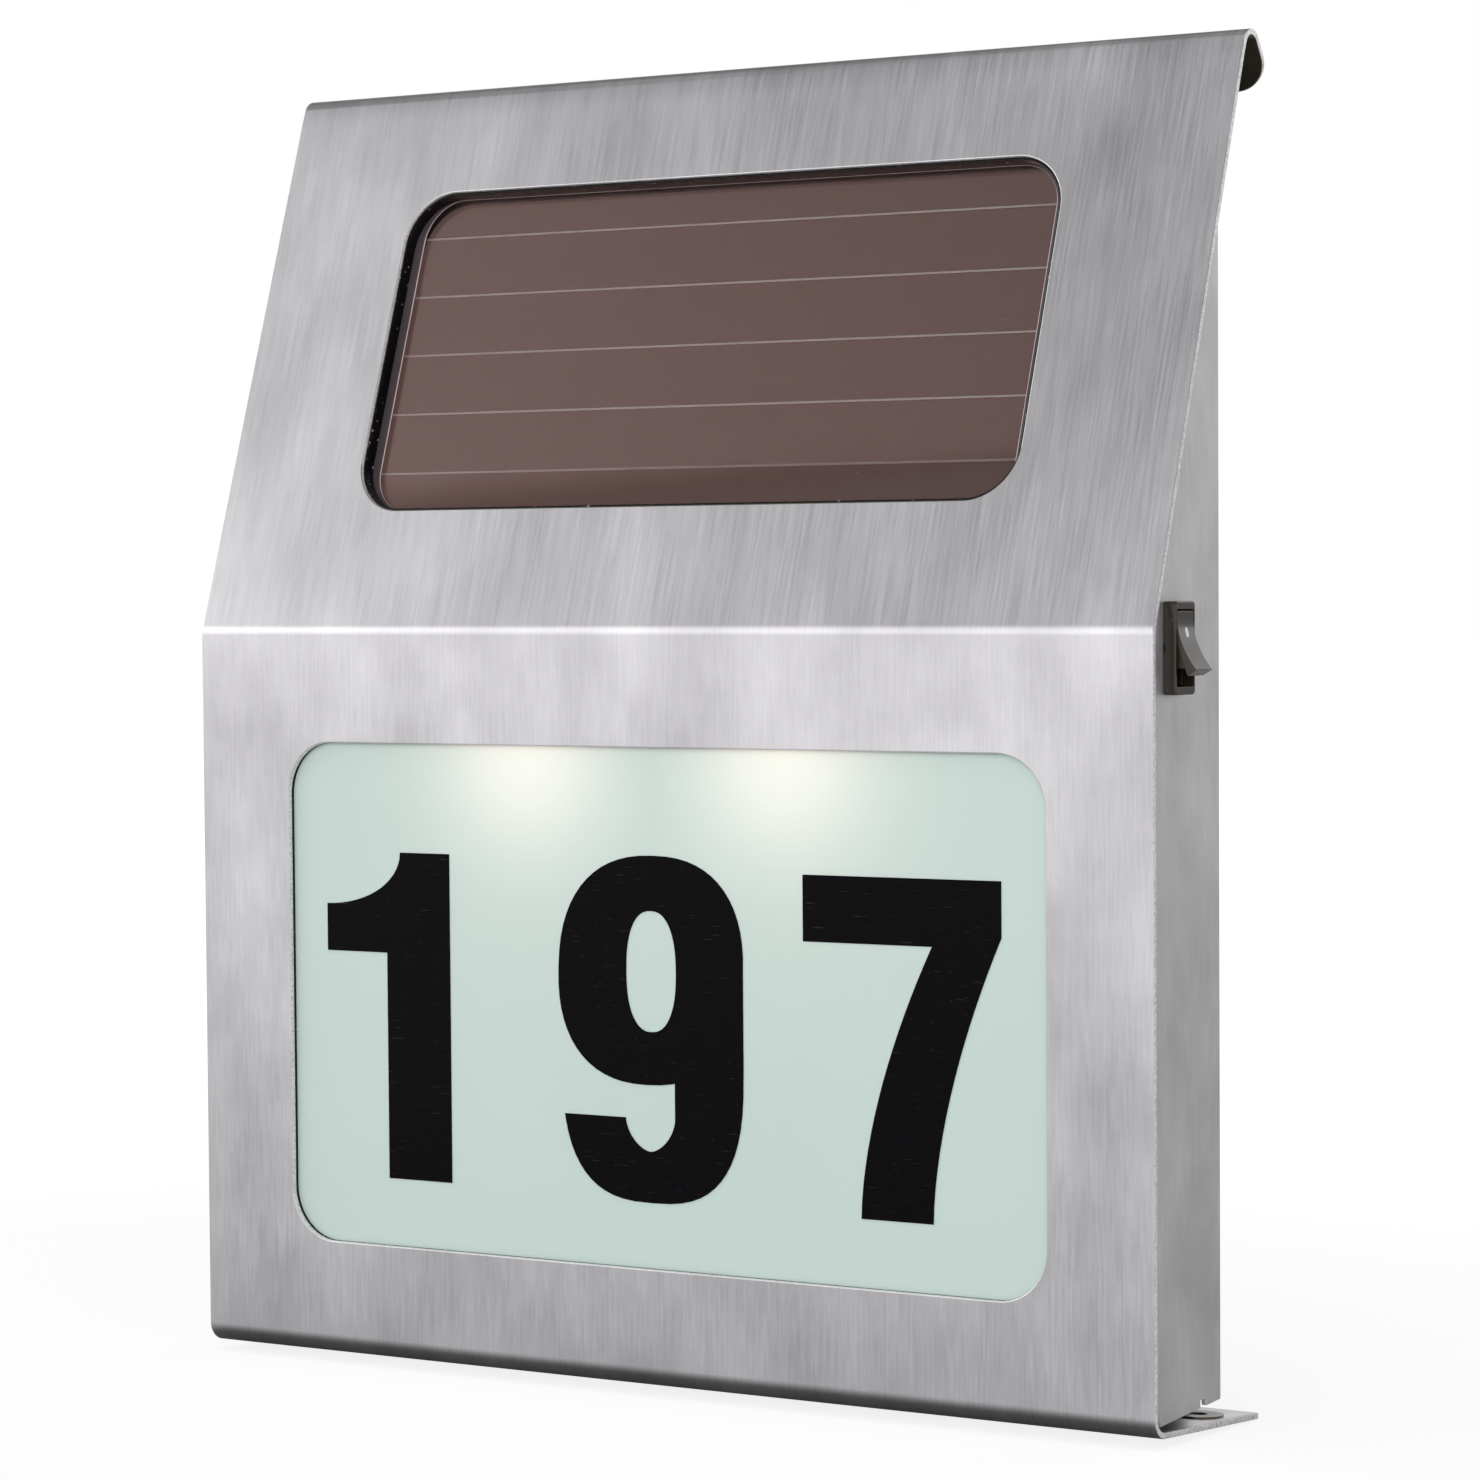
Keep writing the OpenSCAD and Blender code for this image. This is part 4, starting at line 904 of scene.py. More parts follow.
# %% [markdown]
# ## Boards, lamps, leads and the battery's sleeve

# %% Lacquer, resin and sleeves
def smooth(name, dark, light, roughness):
    """A smooth resin, sleeve or glaze."""
    return even(name, dark, light, roughness, 0.002, 3.0, 0.04, IOR=1.5)


resin = smooth("clear_lamp_resin", "#f4ecd0", "#fbf5de", 0.1)
sleeve = smooth("green_shrink_sleeve", "#1d7a48", "#23874f", 0.22)
red_pvc = smooth("red_pvc_sleeve", "#a01a1c", "#b02022", 0.4)
black_pvc = smooth("black_pvc_sleeve", "#1b1b1d", "#242426", 0.4)

switch_nylon, tree = start_material("polished_black_nylon")
place = add(tree, "ShaderNodeTexCoord")
dust = add(tree, "ShaderNodeTexVoronoi", {"Vector": out(place, "Object"), "Scale": 1 / 0.0011})
speck = add(tree, "ShaderNodeMapRange", {"Value": out(dust, "Distance"), "From Min": 0.05, "From Max": 0.09,
    "To Min": 0.7, "To Max": 0.0})
flow = speckle(tree, 0.0015, 3.0)
base = add(tree, "ShaderNodeMix", {"Factor": out(flow, "Fac"), "A": "#302a24",
    "B": "#3e372f"}, data_type="RGBA")
tone = add(tree, "ShaderNodeMix", {"Factor": speck, "A": base, "B": "#b8b4b0"}, data_type="RGBA")
bump = add(tree, "ShaderNodeBump", {"Height": out(flow, "Fac"), "Strength": 0.25, "Distance": 0.00004})
nylon = add(tree, "ShaderNodeBsdfPrincipled", {"Base Color": tone, "Roughness": 0.17, "IOR": 1.53,
    "Specular IOR Level": 0.36})
finish_material(tree, nylon, bump)
print("materials:", len(bpy.data.materials))

# %% [markdown]
# ## Pieces that keep their CAD shape
#
# The cheeks, the tub and most of the small parts already have the right shape. Each gets a copy with
# its loose triangles joined and its edges eased.

# %% Copies with eased edges
def eased_copy(name, node, width, material):
    mesh = nodes[node].data.copy()
    mesh.materials.clear()
    mesh.materials.append(material)
    for face in mesh.polygons:
        face.material_index = 0
    piece = link(name, mesh)
    set_in(piece, node, width)
    return piece


for name, node in (("cheek_left", "left_cheek"), ("cheek_right", "right_cheek")):
    cheek = eased_copy(name, node, 0.1, cheek_steel)
    mark_rims(cheek, 0.9)
    lay_grain(cheek)

KEPT_SHAPES = [("bracket_plate", "wall_bracket", 0.2, galvanised), ("tub_shell", "rear_tub", 0.15, black_abs),
    ("door_panel", "battery_door", 0.2, black_abs), ("battery_box", "battery_holder", 0.15, black_abs),
    ("opal_window", "number_panel", 0.2, opal), ("figure_one", "digit_one", 0.03, film),
    ("figure_nine", "digit_nine", 0.03, film), ("figure_seven", "digit_seven", 0.03, film),
    ("solar_window", "solar_glass", 0.15, glass), ("back_sheet", "solar_back_sheet", 0.05, white_abs),
    ("lamp_tray", "light_tray", 0.15, white_abs), ("glass_foam", "solar_seal", 0.1, foam),
    ("tub_foam", "tub_seal", 0.1, foam), ("nut_rings", "flange_nuts", 0.05, phosphated),
    ("studs", "weld_studs", 0.2, zinc)]
for name, node, width, material in KEPT_SHAPES:
    eased_copy(name, node, width, material)

# %% [markdown]
# ## Seals in the windows and strips of film
#
# The solar seal's lip is squeezed a little way into its window, so that a thin black line runs
# inside the steel's edge; the number seal is flush with its window. The strips of the solar film all
# have one size and one pitch: Geometry Nodes set a thin plate on each point of a line. The white back
# sheet shows in the gaps between them.

# %% Lips of the seals
to_row = Matrix.Translation(at(0, 0, 0)) @ Matrix.Scale(MM, 4)


def frame_ring(name, outer, inner, low, high, place, material):
    """A flat ring between two outlines that have the same number of points."""
    count = len(outer)
    points = [place @ Vector((x, y, z)) for outline in (outer, inner) for z in (low, high)
        for x, y in outline]
    faces = []
    for i in range(count):
        j = (i + 1) % count
        a, b, c, d = i, count + i, 2 * count + i, 3 * count + i
        e, f, g, h = j, count + j, 2 * count + j, 3 * count + j
        faces += [(a, e, f, b), (c, d, h, g), (b, f, h, d), (a, c, g, e)]
    mesh = bpy.data.meshes.new(name)
    mesh.from_pydata([at(*p) for p in points], [], faces)
    mesh.materials.append(material)
    point_outwards(mesh)
    return link(name, mesh)


reflection_paint = moulded("grey_painted_reflection", "#4d4549", "#574e53", 0.0003, 0.3, 0.000004)
highlight_paint = moulded("pale_painted_highlight", "#d8c2c0", "#e6d2cf", 0.0003, 0.3, 0.000004)
lip = frame_ring("glass_lip", rounded_outline(132.36, 58.36, 9.38), rounded_outline(131.5, 57.5, 8.95), -2.78,
    -0.45, lean_on(0, 0, SOLAR_MIDDLE), gasket)
ease(lip, 0.15)
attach(lip, node_body["solar_seal"])

# A grey ring on the glass by the lip is a painted reflection of it; a thin pale ring is a painted highlight
REFLECTION_WIDE, REFLECTION_TOP, HIGHLIGHT_WIDE = 1.7, 0.06, 0.16
foot = rounded_outline(131.45, 57.45, 8.92)
reflection_edge = rounded_outline(131.5 - 2 * REFLECTION_WIDE, 57.5 - 2 * REFLECTION_TOP, 7.6)
highlight_edge = rounded_outline(131.5 - 2 * REFLECTION_WIDE - 2 * HIGHLIGHT_WIDE, 57.5 - 2 * REFLECTION_TOP - 0.04, 7.4)
for name, outer, inner, high, material in (("glass_margin", foot, reflection_edge, -2.62, reflection_paint),
        ("film_border", reflection_edge, highlight_edge, -2.7, highlight_paint)):
    piece = frame_ring(name, outer, inner, -2.79, high, lean_on(0, 0, SOLAR_MIDDLE), material)
    ease(piece, 0)
    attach(piece, node_body["solar_glass"])
seal = frame_ring("panel_foam", rounded_outline(159.6, 94.4, 3), rounded_outline(151.6, 86.4, 9.0), -1.5,
    -1.0, face_on(0, 0, NUMBER_MIDDLE), gasket)
set_in(seal, "number_seal", 0.05)


# %% Strips of silicon film
def strips_tree():
    tree, given = new_tree("film_strips", {"Count": "NodeSocketInt", "Pitch": "NodeSocketVector",
        "Size": "NodeSocketVector", "Material": "NodeSocketMaterial"})
    row = add(tree, "GeometryNodeMeshLine", {"Count": given["Count"], "Offset": given["Pitch"]})
    plate = add(tree, "GeometryNodeMeshCube", {"Size": given["Size"]})
    laid = add(tree, "GeometryNodeInstanceOnPoints", {"Points": row, "Instance": out(plate, "Mesh")})
    end_tree(tree, laid, given["Material"])
    return tree


cells_low, cells_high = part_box("solar_cells")
width = (cells_high.x - cells_low.x) / MM
strips = grow("silicon_strips", bpy.data.meshes.new("start"), strips_tree(), Count=STRIPS,
    Pitch=(0, STRIP_PITCH / MM, 0), Size=(width, (STRIP_PITCH - STRIP_GAP) / MM, 0.2), Material=silicon)
strips.data.transform(to_row @ lean_on(0, 4.9, (FIRST_S + STRIP_PITCH / 2 - STRIP_GAP / 2) / MM))
set_in(strips, "solar_cells", 0)

# %% [markdown]
# ## The rocker switch
#
# A small snap-in switch: a frame with a soft outer edge, and in it a dished key that tips about a
# pin. The key is nearly as wide as the frame, its two ends lean outwards, and a white dot is printed
# near its upper end. The key's cap is an outline pushed along the pin and joined to a stem, a hub
# and a pin about the CAD's own line, so that it still turns about the right one.

# %% Frame of the switch
SWITCH_Y, SWITCH_Z, CHEEK_X, PIVOT_X = 7.1, 124.1, 94.6, 94.5
KEY_TILT = math.radians(20)
KEY_LONG, KEY_DOWN, KEY_TALL, KEY_DIP, KEY_WIDE = 4.6, 5.05, 4.12, 1.0, 5.3
CAP_LOW, CAP_LONG = 2.25, 5.4


def loose_copy(name, node, material):
    """A copy of a CAD node's mesh with its doubles merged and one material."""
    mesh = nodes[node].data.copy()
    mesh.materials.clear()
    mesh.materials.append(material)
    mesh.polygons.foreach_set("material_index", [0] * len(mesh.polygons))
    work = bmesh.new()
    work.from_mesh(mesh)
    bmesh.ops.remove_doubles(work, verts=work.verts, dist=0.002 * MM)
    work.to_mesh(mesh)
    work.free()
    return link(name, mesh)


# X of this frame runs to the back, Y up and Z out of the cheek
switch_frame = Matrix.Translation((CHEEK_X, SWITCH_Y, SWITCH_Z)) @ Matrix(((0, 0, 1, 0), (1, 0, 0, 0),
    (0, 1, 0, 0), (0, 0, 0, 1)))
case = loose_copy("switch_case", "switch_body", switch_nylon)
cut(case, [prism("cut_well", rounded_outline(KEY_WIDE + 0.2, 12, 0.3, 4), 0.15, 4, switch_frame)])


def soften_front(piece, x, width, inside):
    """Rounds the outer edge of a frame's front face, which lies at x, in mm."""
    work = bmesh.new()
    work.from_mesh(piece.data)
    bmesh.ops.dissolve_limit(work, angle_limit=math.radians(0.2), verts=work.verts, edges=work.edges)
    edges = []
    for edge in work.edges:
        flat = all(abs(v.co.x / MM - x) < 0.01 for v in edge.verts)
        outer = all(abs(v.co.y / MM + WALL_Y - SWITCH_Y) > inside[0]
            or abs(v.co.z / MM + HOLE_Z - SWITCH_Z) > inside[1] for v in edge.verts)
        if flat and outer and len(edge.link_faces) == 2 and edge.calc_face_angle(0) > 1:
            edges.append(edge)
    bmesh.ops.bevel(work, geom=edges, offset=width * MM, offset_type="OFFSET", segments=5, profile=0.5,
        affect="EDGES", clamp_overlap=True)
    work.to_mesh(piece.data)
    work.free()
    print(piece.name, "softened edges:", len(edges))


soften_front(case, CHEEK_X + 2.2, 0.27, (2.9, 6.6))
set_in(case, "switch_body", 0.06)

# %% Key of the switch
cap = [(CAP_LOW, -CAP_LONG)]
for k in range(25):
    along = -1 + k / 12
    cap.append((KEY_TALL - KEY_DIP * (1 - along * along), (KEY_LONG if along > 0 else KEY_DOWN) * along))
cap.append((CAP_LOW, CAP_LONG))
# X of this frame runs out of the cheek and Y up, both turned by the key's tilt, and Z to the front
key_frame = (Matrix.Translation((PIVOT_X, SWITCH_Y, SWITCH_Z)) @ Matrix.Rotation(-KEY_TILT, 4, "Y")
    @ Matrix.Rotation(math.pi / 2, 4, "X"))
stem = [(0, -3.4), (CAP_LOW + 0.2, -4.3), (CAP_LOW + 0.2, 4.3), (0, 3.4)]


key = prism("switch_key", cap, -KEY_WIDE / 2, KEY_WIDE / 2, key_frame)
key.data.materials.append(switch_nylon)
for part, outline, half in (("stem", stem, 2.3), ("hub", ring(2.2), 2.3), ("pin", ring(0.6), 2.7)):
    boolean(key, prism("key_" + part, outline, -half, half, key_frame), "UNION")
set_in(key, "switch_rocker", 0.14, segments=3)
low, high = box_of(key)
print("key stands out to x, mm:", round(high.x / MM, 2))

# %% Dot on the key
print_white = moulded("white_pad_print", "#dddcd8", "#ececea", 0.0002, 0.4, 0.000005)
DOT_AT = 1.4
dot_height = KEY_TALL - KEY_DIP * (1 - (DOT_AT / KEY_LONG) ** 2)
slope = math.atan(2 * KEY_DIP * DOT_AT / KEY_LONG ** 2)
dot_frame = (key_frame @ Matrix.Translation((dot_height, DOT_AT, 0)) @ Matrix.Rotation(-slope, 4, "Z")
    @ Matrix.Rotation(math.pi / 2, 4, "Y"))
oval = [(0.5 * math.cos(a), 0.85 * math.sin(a)) for a in (math.tau * k / 32 for k in range(32))]
dot = prism("key_dot", oval, -0.05, 0.03, dot_frame)
dot.data.materials.append(print_white)
ease(dot, 0)
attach(dot, node_body["switch_rocker"])

# %% [markdown]
# ## Fasteners
#
# The screws, nuts and studs are each one shape in four places. The shape is turned on a lathe from
# a profile, and Geometry Nodes set it on a point for each place. Their places are read
# from the CAD's solids, so the fasteners stand exactly where the CAD has them.

# %% Lathe, islands and setting out
def lathe(name, profile, steps=40):
    """Turns a profile of (radius, height) about Z, in metres from mm. A radius of 0 closes a pole."""
    points, rows = [], []
    for radius, height in profile:
        count = 1 if radius == 0 else steps
        rows.append([len(points) + k for k in range(count)])
        points += [(radius * math.cos(math.tau * k / steps) * MM,
            radius * math.sin(math.tau * k / steps) * MM, height * MM) for k in range(count)]
    faces = []
    for low, high in zip(rows, rows[1:]):
        for k in range(steps):
            j = (k + 1) % steps
            corners = [low[k % len(low)], low[j % len(low)], high[j % len(high)], high[k % len(high)]]
            faces.append(tuple(dict.fromkeys(corners)))
    mesh = bpy.data.meshes.new(name)
    mesh.from_pydata(points, [], [f for f in faces if len(f) > 2])
    point_outwards(mesh)
    return link(name, mesh)


def islands(node):
    """Lowest and highest corner of each separate solid in a CAD node, in drawn mm."""
    work = bmesh.new()
    work.from_mesh(nodes[node].data)
    bmesh.ops.remove_doubles(work, verts=work.verts, dist=0.002 * MM)
    found, seen_points = [], set()
    for start in work.verts:
        if start in seen_points:
            continue
        wave, group = [start], []
        seen_points.add(start)
        while wave:
            point = wave.pop()
            group.append(point.co / MM + Vector((0, WALL_Y, HOLE_Z)))
            for edge in point.link_edges:
                other = edge.other_vert(point)
                if other not in seen_points:
                    seen_points.add(other)
                    wave.append(other)
        found.append((Vector([min(p[i] for p in group) for i in range(3)]),
            Vector([max(p[i] for p in group) for i in range(3)])))
    work.free()
    return found


def set_out_tree(name, painted):
    """Sets a shape on every point. Painted, the result takes one material."""
    tree, given = new_tree(name, {"Shape": "NodeSocketObject", "Turn": "NodeSocketRotation",
        "Material": "NodeSocketMaterial"})
    shape = add(tree, "GeometryNodeObjectInfo", {"Object": given["Shape"], "As Instance": True})
    spots = add(tree, "GeometryNodeMeshToPoints", {"Mesh": given["Geometry"]})
    laid = add(tree, "GeometryNodeInstanceOnPoints", {"Points": spots, "Instance": out(shape, "Geometry"),
        "Rotation": given["Turn"]})
    end_tree(tree, laid, given["Material"] if painted else None)
    return tree


set_out, set_out_mixed = set_out_tree("set_out", True), set_out_tree("set_out_mixed", False)
TO_FRONT, TO_BACK, TO_TOP = (math.pi / 2, 0, 0), (-math.pi / 2, 0, 0), (0, 0, 0)


def repeat(name, shape, spots, turn, material=None, keep=False):
    """One mesh with the shape at every spot, given in drawn mm, its Z turned as asked."""
    paint = {"Material": material} if material else {}
    mesh = bpy.data.meshes.new(name + "_spots")
    mesh.from_pydata([at(*spot) for spot in spots], [], [])
    piece = grow(name, mesh, set_out if material else set_out_mixed, Shape=shape, Turn=turn, **paint)
    if not keep:
        bpy.data.objects.remove(shape)
    return piece


def join(name, *pieces):
    """Several plain meshes as one piece, each part keeping its material."""
    work, materials = bmesh.new(), []
    for piece in pieces:
        mesh = piece.data
        for material in mesh.materials:
            if material not in materials:
                materials.append(material)
        slots = [materials.index(m) for m in mesh.materials] or [0]
        mesh.polygons.foreach_set("material_index", [slots[f.material_index] for f in mesh.polygons])
        work.from_mesh(mesh)
        bpy.data.objects.remove(piece)
    mesh = bpy.data.meshes.new(name)
    work.to_mesh(mesh)
    work.free()
    for material in materials:
        mesh.materials.append(material)
    return link(name, mesh)


# %% A thread, spring or winding
def helix_tree():
    tree, given = new_tree("helix", {"Radius": "NodeSocketFloat", "End Radius": "NodeSocketFloat",
        "Height": "NodeSocketFloat", "Turns": "NodeSocketFloat", "Wire": "NodeSocketFloat",
        "Sides": "NodeSocketInt", "Material": "NodeSocketMaterial"})
    curve = add(tree, "GeometryNodeCurveSpiral", {"Resolution": 28, "Rotations": given["Turns"],
        "Start Radius": given["Radius"], "End Radius": given["End Radius"], "Height": given["Height"]})
    section = add(tree, "GeometryNodeCurvePrimitiveCircle", {"Resolution": given["Sides"],
        "Radius": given["Wire"]})
    wire = add(tree, "GeometryNodeCurveToMesh", {"Curve": curve, "Profile Curve": out(section, "Curve"),
        "Fill Caps": True})
    end_tree(tree, wire, given["Material"])
    return tree


helix = helix_tree()


def wind(name, radius, height, turns, wire, material, sides=10, end_radius=None):
    """A helix about Z from Z = 0, in metres from mm."""
    return grow(name, bpy.data.meshes.new("start"), helix, Radius=radius * MM,
        End_Radius=(radius if end_radius is None else end_radius) * MM, Height=height * MM,
        Turns=float(turns), Wire=wire * MM, Sides=sides, Material=material)


def shift(piece, x=0.0, y=0.0, z=0.0):
    """Moves a mesh that isn't in its place yet, in mm."""
    piece.data.transform(Matrix.Translation(Vector((x, y, z)) * MM))
    return piece


def loose_prism(name, outline, low, high, x=0.0, y=0.0):
    """A prism about the row's own origin, moved by x and y in mm, to be set out later."""
    piece = shift(prism(name, outline, low, high, Matrix()), x, y)
    piece.data.transform(Matrix.Translation(-at(0, 0, 0)))
    return piece


# %% Screws
def screw_shape():
    """A pan-head screw with a cross recess: head above Z = 0, shank of 6 mm below."""
    body = lathe("screw", [(0, -6), (0.5, -5.8), (1.02, -5.2), (1.02, 0), (2.4, 0), (2.4, 0.6), (2.25, 1.0),
        (1.7, 1.38), (0.9, 1.5), (0, 1.5)])
    for long, wide in ((2.6, 0.5), (0.5, 2.6)):
        boolean(body, loose_prism("slot", rounded_outline(long, wide, 0.12, 3), 0.7, 2), "DIFFERENCE")
    body.data.materials.append(zinc)
    thread = shift(wind("thread", 1.0, 5, 6.5, 0.19, zinc, sides=3), z=-5.2)
    return join("screw_shape", body, thread)


screw = screw_shape()
for name, node in (("tray_fixings", "tray_screws"), ("board_fixings", "board_screws")):
    spots = [((low.x + high.x) / 2, low.y + 1.5, (low.z + high.z) / 2) for low, high in islands(node)]
    piece = repeat(name, screw, spots, TO_FRONT, zinc, keep=True)
    set_in(piece, node, 0, sharp=40)
bpy.data.objects.remove(screw)

# %% Nuts and stud threads
nut = loose_prism("nut", ring(3.175, 6), 0, 2.4)
boolean(nut, lathe("chamfer", [(0, -0.01), (2.8, -0.01), (3.3, 0.35), (3.3, 2.05), (2.8, 2.41), (0, 2.41)],
    48), "INTERSECT")
boolean(nut, lathe("bore", [(0, -1), (1.75, -1), (1.75, -0.01), (1.5, 0.25), (1.5, 2.15), (1.75, 2.41),
    (1.75, 3), (0, 3)]), "DIFFERENCE")
spots = [((low.x + high.x) / 2, low.y, (low.z + high.z) / 2) for low, high in islands("tub_nuts")]
nuts = repeat("stud_nuts", nut, spots, TO_BACK, zinc)
set_in(nuts, "tub_nuts", 0.05, sharp=28)

spots = [((low.x + high.x) / 2, 20.6, (low.z + high.z) / 2) for low, high in islands("weld_studs")]
threads = repeat("stud_threads", wind("thread", 1.45, 4.2, 8.4, 0.2, zinc, sides=3), spots, TO_BACK, zinc)
threads.data.shade_smooth()
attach(threads, node_body["weld_studs"])

# %% [markdown]
# ## Leads
#
# The leads are thin stranded wire in a PVC sleeve. Each is a line through the same points as the CAD's
# route. Geometry Nodes round its corners and sweep a circle along it, because a real lead takes its
# turns in a curve.

# %% Leads
def lead_tree():
    tree, given = new_tree("lead", {"Radius": "NodeSocketFloat", "Bend": "NodeSocketFloat",
        "Material": "NodeSocketMaterial"})
    route = add(tree, "GeometryNodeMeshToCurve", {"Mesh": given["Geometry"]})
    bent = add(tree, "GeometryNodeFilletCurve", {"Curve": route, "Radius": given["Bend"], "Count": 10,
        "Limit Radius": True}, mode="POLY")
    section = add(tree, "GeometryNodeCurvePrimitiveCircle", {"Resolution": 16, "Radius": given["Radius"]})
    tube = add(tree, "GeometryNodeCurveToMesh", {"Curve": bent, "Profile Curve": out(section, "Curve"),
        "Fill Caps": True})
    end_tree(tree, tube, given["Material"])
    return tree


def routes_mesh(routes):
    """One mesh with a line through the points of each route, in drawn mm."""
    points, edges = [], []
    for route in routes:
        edges += [(len(points) + k, len(points) + k + 1) for k in range(len(route) - 1)]
        points += [at(*p) for p in route]
    mesh = bpy.data.meshes.new("routes")
    mesh.from_pydata(points, edges, [])
    return mesh


BOARD_FACE = 14.8
CHIP_X, CHIP_Z, LEG_STEP = 35, 55, 1.27
COIL_X, COIL_Z = 22, 60
SOCKET_X, SOCKET_STEP, SOCKET_Y, SOCKET_Z, RISE, HALF = 37, 12, 16.4, 77, 4.2, 0.9
solar_routes, lamp_routes, switch_routes = [], [], []
for side in (-1, 1):
    x = SOCKET_X + side * HALF
    back = lean_place(x, 7.4, 25.6)
    solar_routes.append([lean_place(x, 5.6, 25.6), back, (x, SOCKET_Y, back[2] - 10),
        (x, SOCKET_Y, SOCKET_Z)])
    x, end = 28 + side * HALF, SOCKET_X - SOCKET_STEP + side * HALF
    lamp_routes.append([(x, 7.15, 112.8), (x, 7.15, 115.3), (x, SOCKET_Y, 115.3),
        (end, SOCKET_Y, SOCKET_Z + 3 * RISE), (end, SOCKET_Y, SOCKET_Z)])
    z, end = 124.1 + side * 3, SOCKET_X + SOCKET_STEP - side * HALF
    switch_routes.append([(80.1, 7.1, z), (77.1, 7.1, z), (72.1, SOCKET_Y, 114.1 + side * HALF),
        (62 - side * HALF, SOCKET_Y, 114.1 + side * HALF), (end, SOCKET_Y, SOCKET_Z + 2 * RISE),
        (end, SOCKET_Y, SOCKET_Z)])
battery_routes = [[(-4.8, 12.1, 117.4), (0.2, 12.1, 117.4), (5.2, SOCKET_Y, 107.4), (18.1, SOCKET_Y, 81),
    (18.1, SOCKET_Y, 71), (18.1, BOARD_FACE, 71)], [(-59.2, 12.1, 117.4), (-64.2, 12.1, 117.4),
    (-64.2, SOCKET_Y, 107.4), (-4.8, SOCKET_Y, 107.4), (16.3, SOCKET_Y, 81), (16.3, SOCKET_Y, 71),
    (16.3, BOARD_FACE, 71)]]
lead = lead_tree()
for name, node, routes, material in (("solar_pair", "solar_leads", solar_routes, red_pvc),
        ("lamp_pair", "lamp_leads", lamp_routes, red_pvc), ("switch_pair", "switch_leads", switch_routes,
        black_pvc), ("battery_pair", "battery_leads", battery_routes, black_pvc)):
    piece = grow(name, routes_mesh(routes), lead, Radius=0.7 * MM, Bend=2.4 * MM, Material=material)
    set_in(piece, node, 0, sharp=60)

# %% [markdown]
# ## Battery and contacts
#
# A rechargeable cell is a steel can in a shrunk plastic sleeve. The sleeve turns in a little over both
# ends, a groove runs round the can near its plus end, and a button stands on a disc there. One contact
# is a flat strip with a raised dot, the other carries a conical spring.

# %% Battery
CELL_Y, CELL_Z, CELL_LOW = 12.1, 123, -55.9
wrap = lathe("battery_wrap", [(6.0, 0.05), (6.2, 0), (6.9, 0), (7.12, 0.12), (7.2, 0.45), (7.2, 44.2),
    (7.12, 44.6), (6.9, 45.0), (6.9, 45.6), (7.12, 46.0), (7.2, 46.4), (7.2, 48.0), (7.1, 48.35), (6.8, 48.5),
    (6.0, 48.5), (5.8, 48.4), (5.8, 48.2), (6.8, 48.1), (6.8, 0.4), (6.0, 0.4), (6.0, 0.05)], 56)
wrap.data.materials.append(sleeve)
can = lathe("battery_can", [(0, 0.12), (5.6, 0.12), (6.1, 0.25), (6.6, 0.6), (6.6, 47.9), (5.7, 48.1),
    (3.4, 48.1), (3.2, 48.3), (2.9, 49.0), (2.7, 50.2), (2.4, 50.5), (0, 50.5)], 56)
can.data.materials.append(nickel)
to_cell = Matrix.Translation(at(CELL_LOW, CELL_Y, CELL_Z)) @ Matrix.Rotation(math.pi / 2, 4, "Y")
for piece in (wrap, can):
    piece.data.transform(to_cell)
    ease(piece, 0, sharp=45)
seat(wrap, "battery")
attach(can, node_body["battery"])

# %% Contacts
low_side = Matrix.Translation((-59.2, CELL_Y, 122.5)) @ Matrix.Rotation(math.pi / 2, 4, "Y")
high_side = Matrix.Translation((-5.3, CELL_Y, 122.5)) @ Matrix.Rotation(math.pi / 2, 4, "Y")
plates = [prism("plate", rounded_outline(14.2, 10, 1.2, 6), 0, 0.4, side) for side in (low_side, high_side)]
dot_face = lathe("dot", [(0, -0.1), (2.2, -0.1), (2.0, -0.03), (1.2, 0.02), (0, 0.03)])
dot_face.data.transform(Matrix.Translation(at(-5.3, CELL_Y, CELL_Z)) @ Matrix.Rotation(math.pi / 2, 4, "Y"))
spring = wind("spring", 4.2, 2.75, 2.6, 0.3, nickel, end_radius=2.2)
spring.data.transform(Matrix.Translation(at(-58.75, CELL_Y, CELL_Z)) @ Matrix.Rotation(math.pi / 2, 4, "Y"))
for piece in (*plates, dot_face):
    piece.data.materials.append(nickel)
contacts = join("contacts", *plates, dot_face, spring)
set_in(contacts, "battery_contacts", 0, sharp=40)
